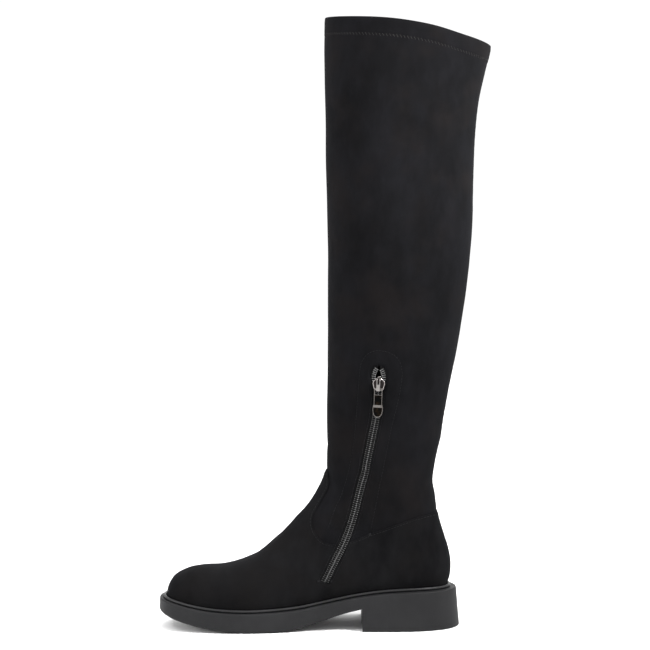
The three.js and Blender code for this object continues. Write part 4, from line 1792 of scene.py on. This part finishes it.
@dataclass
class ZipCoil:
    """Closed coil below the slider and the two open rows above it."""

    form: Form
    skin: Surface
    nylon: Material
    # Paler finish for the heads, turns and open teeth: painted highlight.
    highlit_crowns: Material
    pitch: float = 1.9
    reach: float = 1.4
    open_from: float = 219.0
    depth: float = 1.05
    crossing: float = 0.3
    slant: float = 0.15
    leg_width: float = 0.7
    free_width: float = 0.6
    leg_height: float = 0.9
    leg_arch: float = 0.12
    head_rise: float = 0.16
    head_half: float = 0.3
    head_width: float = 0.55
    turn_sink: float = 0.1
    turn_half: float = 0.2
    turn_width: float = 0.6
    crown_height: float = 1.0
    crown_arch: float = 0.1
    open_rows: Line = (
        (1.5, 216), (2.6, 222), (4.4, 227), (4.7, 229.5), (4.3, 232), (3.2, 235.2), (2.3, 236.8),
    )

    def row(self, side: int) -> Array:
        """Middle line of one row of teeth.

        Args:
            side: -1 for the front row and 1 for the back row.

        Returns:
            Rows of (y, z, how far it is from the zip's middle).
        """
        table = np.array(self.open_rows)
        line = np.vstack([self.form.zip_line, [(self.form.zip_line[-1, 0], table[-1, 1])]])
        line = resample(line, 1.0)
        away = np.interp(line[:, 1], table[:, 1], table[:, 0])
        moved = shifted(line, -side * away)
        return np.column_stack([moved, side * away])

    def build(self) -> Piece:
        """The coil.

        Returns:
            The finished piece.
        """
        parts = []
        for side in (-1, 1):
            row = resample(self.row(side), self.pitch)[:, :2]
            if side > 0:
                row = row[:-1] + (row[1:] - row[:-1]) / 2
            along = unit(np.gradient(row, axis=0))
            outward = np.stack([along[:, 1], -along[:, 0]], axis=1) * side
            inner, normals = self.skin.facing(row - outward * (self.reach + self.crossing), Side.MEDIAL)
            outer, _ = self.skin.facing(row + outward * self.reach + along * self.slant, Side.MEDIAL)
            inner, outer = inner - normals * self.depth, outer - normals * self.depth
            tangent = unit(np.gradient(inner, axis=0))
            opened = row[:, 1] > self.open_from
            shut, leg = ~opened, (self.leg_height, self.leg_arch)
            legs = bars(f"legs_{side}", inner[shut], outer[shut], normals[shut], self.leg_width, *leg)
            free = bars(f"free_{side}", inner[opened], outer[opened], normals[opened], self.free_width, *leg)
            head, turn = inner + normals * self.head_rise, outer - normals * self.turn_sink
            crown = (self.crown_height, self.crown_arch)
            ahead, aside = tangent * self.head_half, tangent * self.turn_half
            heads = bars(f"heads_{side}", head - ahead, head + ahead, normals, self.head_width, *crown)
            turns = bars(f"turns_{side}", turn - aside, turn + aside, normals, self.turn_width, *crown)
            legs.data.materials.append(self.nylon)
            # Open teeth, heads and turns take the paler coil finish: painted highlight.
            for part in (free, heads, turns):
                part.data.materials.append(self.highlit_crowns)
            parts += [legs, free, heads, turns]
        coil = merged("zip_coil", parts)
        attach(coil, Body.BOOT.value)
        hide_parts("zip_chain")
        return face_out(coil)


@dataclass
class ZipSlider:
    """Plated slider: a shield with a raised rim, a forked bridge, and a back plate on a post."""

    metal: Material
    satin: Material
    dulled: Material
    origin: Vector = field(default_factory=lambda: Vector((44.297, -30.476, 224.351)))
    across: Vector = field(default_factory=lambda: Vector((0.14831, 0.98757, -0.05208)))
    up: Vector = field(default_factory=lambda: Vector((0.10493, 0.03665, 0.99380)))
    out: Vector = field(default_factory=lambda: Vector((0.98336, -0.15285, -0.09819)))
    length: float = 12.6
    width: float = 11.0
    nose: float = 4.2
    thickness: float = 1.5
    rim: float = 0.75
    bridge_width: float = 3.3
    bridge_length: float = 12.2
    bridge_height: float = 3.62
    bridge_bar: float = 1.1
    bridge_drop: float = 0.6
    bridge_round: float = 0.32
    slit_half: float = 0.9
    slit_from: float = -0.6
    slit_to: float = 4.9
    rim_round: float = 0.28
    lift: float = 0.5

    def place(self) -> Matrix:
        """The slider's own frame: x across the zip, y up it, z out of the leg."""
        rotation = Matrix((self.across, self.up, self.out)).transposed()
        return Matrix.Translation(self.origin + self.out * self.lift) @ rotation.to_4x4()

    def shield(self, shrink: float) -> Array:
        """Outline of the slider's top plate, made smaller by a margin."""
        top, wide, nose = self.length / 2 - shrink, self.width / 2 - shrink, self.nose / 2
        right = bent([
            (nose, -top), (wide * 0.75, -top, wide * 0.8, -top * 0.7), (wide, -top * 0.05),
            (wide, top * 0.2, wide * 0.83, top * 0.36), (wide * 0.2, top * 0.88),
            (wide * 0.08, top * 0.98, 0, top),
        ])
        left = right[::-1][1:] * (-1, 1)
        return np.vstack([right, left])

    def bridge(self) -> Piece:
        """The bridge that the pull tab hangs on, forked in its upper half.

        Returns:
            The bridge.
        """
        end, crown, bar = self.bridge_length / 2, self.bridge_height, self.bridge_bar
        foot = -self.thickness / 2
        arch = bent([
            (-end, foot), (-end, crown * 0.55), (-end, crown, -end * 0.72, crown), (end * 0.55, crown),
            (end, crown * 0.95, end, foot), (end - bar, foot),
            (end - bar, crown - bar, end * 0.5, crown - bar), (-end * 0.72, crown - bar),
            (-end + bar, crown - bar, -end + bar, crown * 0.5), (-end + bar, foot),
        ])
        turn = Matrix(((0, 0, 1, 0), (1, 0, 0, 0), (0, 1, 0, 0), (0, 0, 0, 1)))
        shift = Matrix.Translation((0, -self.bridge_drop, self.thickness))
        half = self.bridge_width / 2
        bridge = plate("bridge", [arch], -half, half, self.bridge_round, self.place() @ shift @ turn)
        side, low, high = self.slit_half, self.slit_from, self.slit_to
        slit = np.array([(-side, low), (side, low), (side, high), (-side, high)])
        tool = plate("slit", [slit], 1.2, 8.0, 0.05, self.place())
        combine(bridge, tool, "DIFFERENCE")
        return bridge

    def build(self) -> Piece:
        """The slider.

        Returns:
            The finished piece.
        """
        place = self.place()
        dull = [
            plate("plate", [self.shield(0.15)], 0.0, self.thickness * 0.6, 0.15, place),
            plate("back", [self.shield(0.6)], -2.6, -1.9, 0.2, place),
            plate("post", [self.shield(4.0)], -2.2, 0.2, 0.1, place),
        ]
        edges = [self.shield(0), self.shield(self.rim)[::-1]]
        rim = plate("rim", edges, 0.0, self.thickness, self.rim_round, place)
        bridge = self.bridge()
        for parts, finish in ((dull, self.dulled), ([rim], self.metal), ([bridge], self.satin)):
            for part in parts:
                part.data.materials.clear()
                part.data.materials.append(finish)
        slider = merged("zip_slider_body", [*dull, rim, bridge])
        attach(slider, Body.BOOT.value)
        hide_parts("zip_slider")
        return face_out(slider)


@dataclass
class PullTab:
    """Hanging pull tab: plated frame with a ring at the top, a crossbar, and two enamelled hollows."""

    metal: Material
    enamel: Material
    hinge: Vector = field(default_factory=lambda: Vector((46.656, -31.092, 219.395)))
    axis: Vector = field(default_factory=lambda: Vector((0.14842, 0.98831, -0.03490)))
    up: Vector = field(default_factory=lambda: Vector((0.00518, 0.03451, 0.99939)))
    out: Vector = field(default_factory=lambda: Vector((0.98891, -0.14851, 0.0)))
    thickness: float = 1.3
    neck: float = 7.3
    waist: float = 7.3
    belly: float = 8.9
    length: float = 25.4
    waist_at: float = 14.2
    belly_at: float = 18.2
    hole_width: float = 6.2
    hole_length: float = 4.6
    bar: float = 1.3
    rail: float = 0.44
    sill: float = 0.4
    crossbar: tuple[float, float] = (14.3, 16.6)
    under: float = 0.2
    fill_share: float = 0.55

    def place(self) -> Matrix:
        """The tab's own frame: x along the hinge, y up, z out."""
        rotation = Matrix((self.axis, self.up, self.out)).transposed()
        return Matrix.Translation(self.hinge) @ rotation.to_4x4()

    def outline(self, inset: float) -> Array:
        """Outline of the tab, made smaller by a margin."""
        bar = self.bar / 2
        neck, waist, belly = self.neck / 2 - inset, self.waist / 2 - inset, self.belly / 2 - inset
        tip, top = -self.length + inset, bar - inset
        right = bent([
            (neck - bar, top), (neck, top, neck, top - 2 * bar), (waist, -self.waist_at),
            (belly, -self.waist_at - 1, belly, -self.belly_at), (belly, tip + 2, belly / 2, tip, 0, tip),
        ], 8)
        return np.vstack([right, right[::-1][1:] * (-1, 1)])

    def hollow(self, top: float, low: float, margin: float) -> Array:
        """Part of the tab's outline between two heights, made smaller by a margin, as one hollow."""
        rim = self.outline(margin)
        right = rim[:np.argmin(rim[:, 1]) + 1]
        order = np.argsort(-right[:, 1])
        heights = np.linspace(top, max(low, -self.length + margin), 26)
        widths = np.interp(-heights, -right[order, 1], right[order, 0])
        side = np.column_stack([widths, heights])
        if low < -self.length:
            side = side[:-1]
        return np.vstack([side, (side * (-1, 1))[::-1]])

    def build(self) -> list[Piece]:
        """The tab.

        Returns:
            The plated frame and the enamel in it.
        """
        place, half = self.place(), self.thickness / 2
        ring_low = -self.bar / 2 - self.hole_length
        width = self.hole_width / 2
        ring_top = -self.bar / 2
        ring = bent([
            (width, ring_top - 0.8), (width, ring_low + 0.6), (width, ring_low, width - 0.6, ring_low),
            (-width + 0.6, ring_low), (-width, ring_low, -width, ring_low + 0.6),
            (-width, ring_top - 0.8), (-width, ring_top, -width + 0.8, ring_top), (width - 0.8, ring_top),
        ], 4)
        spans = ((ring_low - self.sill, -self.crossbar[0]), (-self.crossbar[1], -self.length - 1))
        hollows = [self.hollow(top, low, self.rail) for top, low in spans]
        frame = plate("zip_pull_tab_frame", [self.outline(0), ring, *hollows], -half, half, 0.15, place)
        frame.data.materials.clear()
        frame.data.materials.append(self.metal)
        fills = []
        for k, (top, low) in enumerate(spans):
            shape = self.hollow(top + self.under, low - self.under, self.rail - self.under)
            deep = half * self.fill_share
            fills.append(plate(f"fill_{k}", [shape], -deep, deep, 0.08, place))
        enamel = merged("zip_pull_tab_enamel", fills)
        enamel.data.materials.clear()
        enamel.data.materials.append(self.enamel)
        for piece in (frame, enamel):
            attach(piece, Body.PULL_TAB.value)
            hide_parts("zip_pull_tab")
        return [frame, enamel]


# ---------------------------------------------------------------- stitching
@dataclass
class Stitching:
    """Thread on the leather: panel edges, zip facing, hem stitch and bar tacks."""

    form: Form
    relief: Relief
    leather: Surface
    thread: Material
    pale_thread: Material
    length: float = 1.7
    gap: float = 1.1
    width: float = 0.36
    height: float = 0.34
    edge: float = 1.6
    zigzag_pitch: float = 1.55
    zigzag_half: float = 0.95
    hem: float = 15.0
    sample: float = 0.2
    least_facing: float = 0.12
    longest: float = 2.2
    lift: float = 0.02
    tack_pitch: float = 0.36
    tack_half: float = 0.85
    tack_height: float = 0.42

    def run(self, name: str, line: Array, side: Side) -> Piece:
        """A row of stitches along a side-view line.

        Args:
            name: Name of the row.
            line: Its points.
            side: The side of the boot that it is on.

        Returns:
            The row.
        """
        line = resample(line, self.sample)
        step = round((self.length + self.gap) / self.sample)
        part = round(self.length / self.sample)
        starts, ends, normals = [], [], []
        for k in range(0, len(line) - part, step):
            points, facing = self.leather.facing(line[[k, k + part // 2, k + part]], side)
            if len(points) < 3 or abs(facing[1][0]) < self.least_facing:
                continue
            if np.linalg.norm(points[2] - points[0]) > self.length * self.longest:
                continue
            starts.append(points[0] + facing[0] * self.lift)
            ends.append(points[2] + facing[2] * self.lift)
            normals.append(facing[1])
        return bars(name, np.array(starts), np.array(ends), np.array(normals), self.width, self.height, 0.1)

    def panel_edges(self) -> list[Piece]:
        """Edge stitching of the foot part, on both sides, clear of the zip."""
        rows = []
        line = shifted(self.form.seam, -self.edge)
        gap = distance_to(line, self.form.zip_line)
        for side in Side:
            keep = gap > (self.relief.slot_half + 1.0 if side is Side.MEDIAL else -1.0)
            groups = np.split(np.arange(len(line)), np.nonzero(np.diff(keep.astype(int)))[0] + 1)
            for k, group in enumerate(g for g in groups if keep[g[0]] and len(g) > 3):
                rows.append(self.run(f"edge_{side.name}_{k}", line[group], side))
        return rows

    def zigzag(self) -> Piece:
        """The zigzag that holds the hem, all round the leg; its return legs run on the inside."""
        angles = np.radians(np.arange(-180, 180, 1.0))
        high = self.level_ring(angles, self.hem - self.zigzag_half)
        low = self.level_ring(angles, self.hem + self.zigzag_half)
        high, low = resample(high, self.zigzag_pitch, True), resample(low, self.zigzag_pitch, True)
        count = min(len(high), len(low)) // 2 * 2
        places = np.arange(count)
        high = self.spread(high, count)
        low = self.spread(low, count)
        points = np.where((places % 2 == 0)[:, None], high, low)
        points, normals = self.leather.nearest(points)
        starts, ends = points[::2], points[1::2]
        return bars("zigzag", starts, ends, normals[::2], self.width, self.height, 0.08)

    def level_ring(self, angles: Array, drop: float) -> Array:
        """Ring of the skin at a distance below the topline."""
        v = self.form.level(angles, lambda y: line_height(self.form.topline, y) - drop, 26.0)
        return self.form.skin(v, angles)

    def spread(self, ring: Array, count: int) -> Array:
        """A closed ring with a given number of evenly spaced points."""
        path = np.vstack([ring, ring[:1]])
        lengths = np.concatenate([[0.0], np.cumsum(np.linalg.norm(np.diff(path, axis=0), axis=1))])
        places = np.linspace(0, lengths[-1], count + 1)[:-1]
        return np.stack([np.interp(places, lengths, path[:, k]) for k in range(3)], axis=1)

    def bar_tack(self, name: str, start: tuple[float, float], stop: tuple[float, float]) -> Piece:
        """A short dense bar of thread between two side-view points.

        Args:
            name: Name of the tack.
            start: One end of its middle line.
            stop: The other end.

        Returns:
            The tack.
        """
        line = resample(np.array([start, stop], float), self.tack_pitch)
        along = unit(np.array(stop) - np.array(start))
        across = np.array([-along[1], along[0]]) * self.tack_half
        first, normals = self.leather.facing(line - across, Side.MEDIAL)
        second, _ = self.leather.facing(line + across + along * 0.2, Side.MEDIAL)
        return bars(name, first, second, normals, self.width, self.tack_height, 0.25)

    def build(self) -> list[Piece]:
        """All stitching: one piece for the seams and tacks, one for the zip's edge and one for the hem.

        Returns:
            The finished pieces.
        """
        rows = self.panel_edges()
        rows.append(self.run("facing", self.form.facing, Side.MEDIAL))
        rows.append(self.bar_tack("tack_low", (-85.0, 45.2), (-72.0, 44.6)))
        rows.append(self.bar_tack("tack_facing", (-39.0, 86.8), (-37.5, 87.6)))
        seams = merged("seam_stitching", rows)
        edge = self.run("zip_edge_stitching", self.relief.zip_rows(), Side.MEDIAL)
        hem = self.zigzag()
        hem.name = "hem_zigzag"
        dressed = (
            (seams, "foot_suede", self.thread), (edge, "leg_suede", self.thread),
            (hem, "leg_suede", self.pale_thread),
        )
        for piece, slot, thread in dressed:
            piece.data.materials.clear()
            piece.data.materials.append(thread)
            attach(piece, Body.BOOT.value)
        return [seams, edge, hem]


# ---------------------------------------------------------------- studio
@dataclass
class Studio:
    """Pale floor, soft lights and the camera on the medial side."""

    distance: float = 1.980
    height: float = 0.420
    middle_y: float = -0.0783
    pitch_deg: float = 4.26
    lens: float = 121.85
    floor_size: float = 14.0

    def camera(self) -> None:
        """The camera, level with the calf and looking slightly down."""
        data = bpy.data.cameras.new("camera")
        data.lens = self.lens
        data.sensor_width = 36.0
        camera = linked("camera", data)
        camera.location = (self.distance, self.middle_y, self.height)
        camera.rotation_euler = (math.radians(90 - self.pitch_deg), 0.0, math.radians(90))
        bpy.context.scene.camera = camera

    def floor(self) -> None:
        """A wide plain floor under the sole."""
        half = self.floor_size / 2 / MM
        steps = np.linspace(-half, half, 5)
        points = np.array([(x, y, -0.05) for x in steps for y in steps])
        floor = mesh_object("floor", points, grid_faces(5, 5, False))
        floor.data.materials.append(FloorFinish("floor_paper").material())

    def light(
        self, name: str, place: tuple[float, float, float], aim: tuple[float, float, float],
        size: tuple[float, float], power: float, spread: float = 180,
    ) -> None:
        """A soft rectangular light.

        Args:
            name: Its name.
            place: Where it stands, in metres.
            aim: What it points at.
            size: Width and height of its face.
            power: Its power in watts.
            spread: Angle that it shines over, in degrees.
        """
        data = bpy.data.lights.new(name, "AREA")
        data.shape = "RECTANGLE"
        data.size, data.size_y = size
        data.energy = power
        data.spread = math.radians(spread)
        light = linked(name, data)
        light.location = place
        light.rotation_euler = (Vector(place) - Vector(aim)).to_track_quat("Z", "Y").to_euler()

    def lights(self) -> None:
        """Lights on the heel and toe sides, a weak one in front, one on top and one on the far side."""
        self.light("heel_side", (0.5, 0.75, 1.05), (0, 0.04, 0.6), (0.45, 0.45), 7, 58)
        self.light("toe_side", (0.5, -2.0, 0.7), (0, -0.15, 0.1), (1.2, 0.8), 15)
        self.light("front_top", (0.7, -0.9, 1.3), (0, -0.06, 0.6), (0.5, 0.5), 1.8, 58)
        self.light("top", (0.1, -0.1, 2.4), (0, 0, 0.2), (2.4, 2.4), 26)
        self.light("far_side", (-2.2, 0.2, 1.2), (0, 0, 0.3), (1.6, 1.6), 17)

    def world(self) -> None:
        """A white surround, weaker as a light than as a backdrop."""
        world = bpy.data.worlds.new("surround")
        bpy.context.scene.world = world
        world.use_nodes = True
        tree = world.node_tree
        tree.nodes.clear()
        seen = tree.nodes.new("ShaderNodeBackground")
        lit = tree.nodes.new("ShaderNodeBackground")
        seen.inputs["Color"].default_value = (1, 1, 1, 1)
        seen.inputs["Strength"].default_value = 1.05
        lit.inputs["Color"].default_value = (1, 1, 1, 1)
        lit.inputs["Strength"].default_value = 1.06
        path = tree.nodes.new("ShaderNodeLightPath")
        mix = tree.nodes.new("ShaderNodeMixShader")
        output = tree.nodes.new("ShaderNodeOutputWorld")
        tree.links.new(path.outputs["Is Camera Ray"], mix.inputs[0])
        tree.links.new(lit.outputs[0], mix.inputs[1])
        tree.links.new(seen.outputs[0], mix.inputs[2])
        tree.links.new(mix.outputs[0], output.inputs["Surface"])

    def build(self) -> None:
        """Sets up the whole studio with a plain display transform."""
        self.camera()
        self.floor()
        self.lights()
        self.world()
        view = bpy.context.scene.view_settings
        view.view_transform = "Standard"
        view.look = "None"


def report(*pieces: Piece) -> None:
    """Logs each piece with its number of triangles."""
    for piece in pieces:
        triangles = sum(len(face.vertices) - 2 for face in piece.data.polygons)
        LOG.info("%s: %d triangles", piece.name, triangles)


def main() -> None:
    """Builds the boot on the frame, in order."""
    logging.basicConfig(level=logging.INFO, format="%(name)s: %(message)s")
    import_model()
    Studio().build()

    form = Form()
    relief = Relief(form)
    lining = LiningFinish("lining_knit").material()
    thread = ThreadFinish("black_thread").material()
    pale_thread = ThreadFinish("pale_thread", (32, 31, 31), (57, 55, 54)).material()
    metal = MetalFinish("plated_metal").material()
    leg_suede = SuedeFinish("leg_suede").material()
    foot_suede = SuedeFinish("foot_suede", (10, 10, 11), (20, 20, 21), (36, 36, 38), (17, 16, 16)).material()
    tab_metal = MetalFinish("tab_metal", (124, 120, 117), (98, 94, 92), 0.24).material()

    leather = Leather(form, relief, leg_suede, foot_suede, lining)
    leg = leather.leg()
    report(leg)
    foot = leather.foot()
    report(foot)

    report(UnitSole(form, RubberFinish("sole_rubber").material()).build())
    bead = RubberFinish("bead_rubber", (28, 28, 29), (39, 39, 40), 0.4, 0.04, 0.22)
    report(WeltBead(form, bead.material()).build())
    report(Insole(form, SockFinish("sock_cloth").material()).build())

    plain = plain_skin(form)
    # Paler copy of the coil finish: painted highlight on the teeth's crowns.
    highlit_crowns = CoilFinish("coil_crowns_painted_highlight", (54, 54, 55), (108, 108, 108))
    coil = ZipCoil(form, plain, CoilFinish("coil_nylon").material(), highlit_crowns.material())
    report(coil.build())
    # The tape's near-black finish is painted shade.
    tapes = ZipTapes(form, plain, TapeFinish("zip_tape_cloth_painted_shade").material())
    report(tapes.build({side: coil.row(side) for side in (-1, 1)}))
    dulled = MetalFinish("dulled_metal", (44, 40, 40), (34, 31, 31), 0.34).material()
    satin = MetalFinish("satin_metal", (146, 142, 140), (118, 114, 112), 0.3).material()
    report(ZipSlider(metal, satin, dulled).build())
    report(*PullTab(tab_metal, EnamelFinish("black_enamel").material()).build())
    report(*Stitching(form, relief, Surface.of(leg, foot), thread, pale_thread).build())


def plain_skin(form: Form) -> Surface:
    """The boot's skin without relief, for what is laid under or on it.

    Args:
        form: The boot's form.

    Returns:
        The skin as a surface.
    """
    v = np.arange(0.05, form.last, 1 / 8)
    angles = np.radians(np.arange(0, 180.1, 1.5))
    grid = form.skin(v[:, None], angles[None, :])
    skin = mesh_object("plain_skin", grid.reshape(-1, 3), grid_faces(len(v), len(angles), False))
    surface = Surface.of(skin)
    bpy.data.objects.remove(skin)
    return surface


if __name__ == "__main__":
    main()
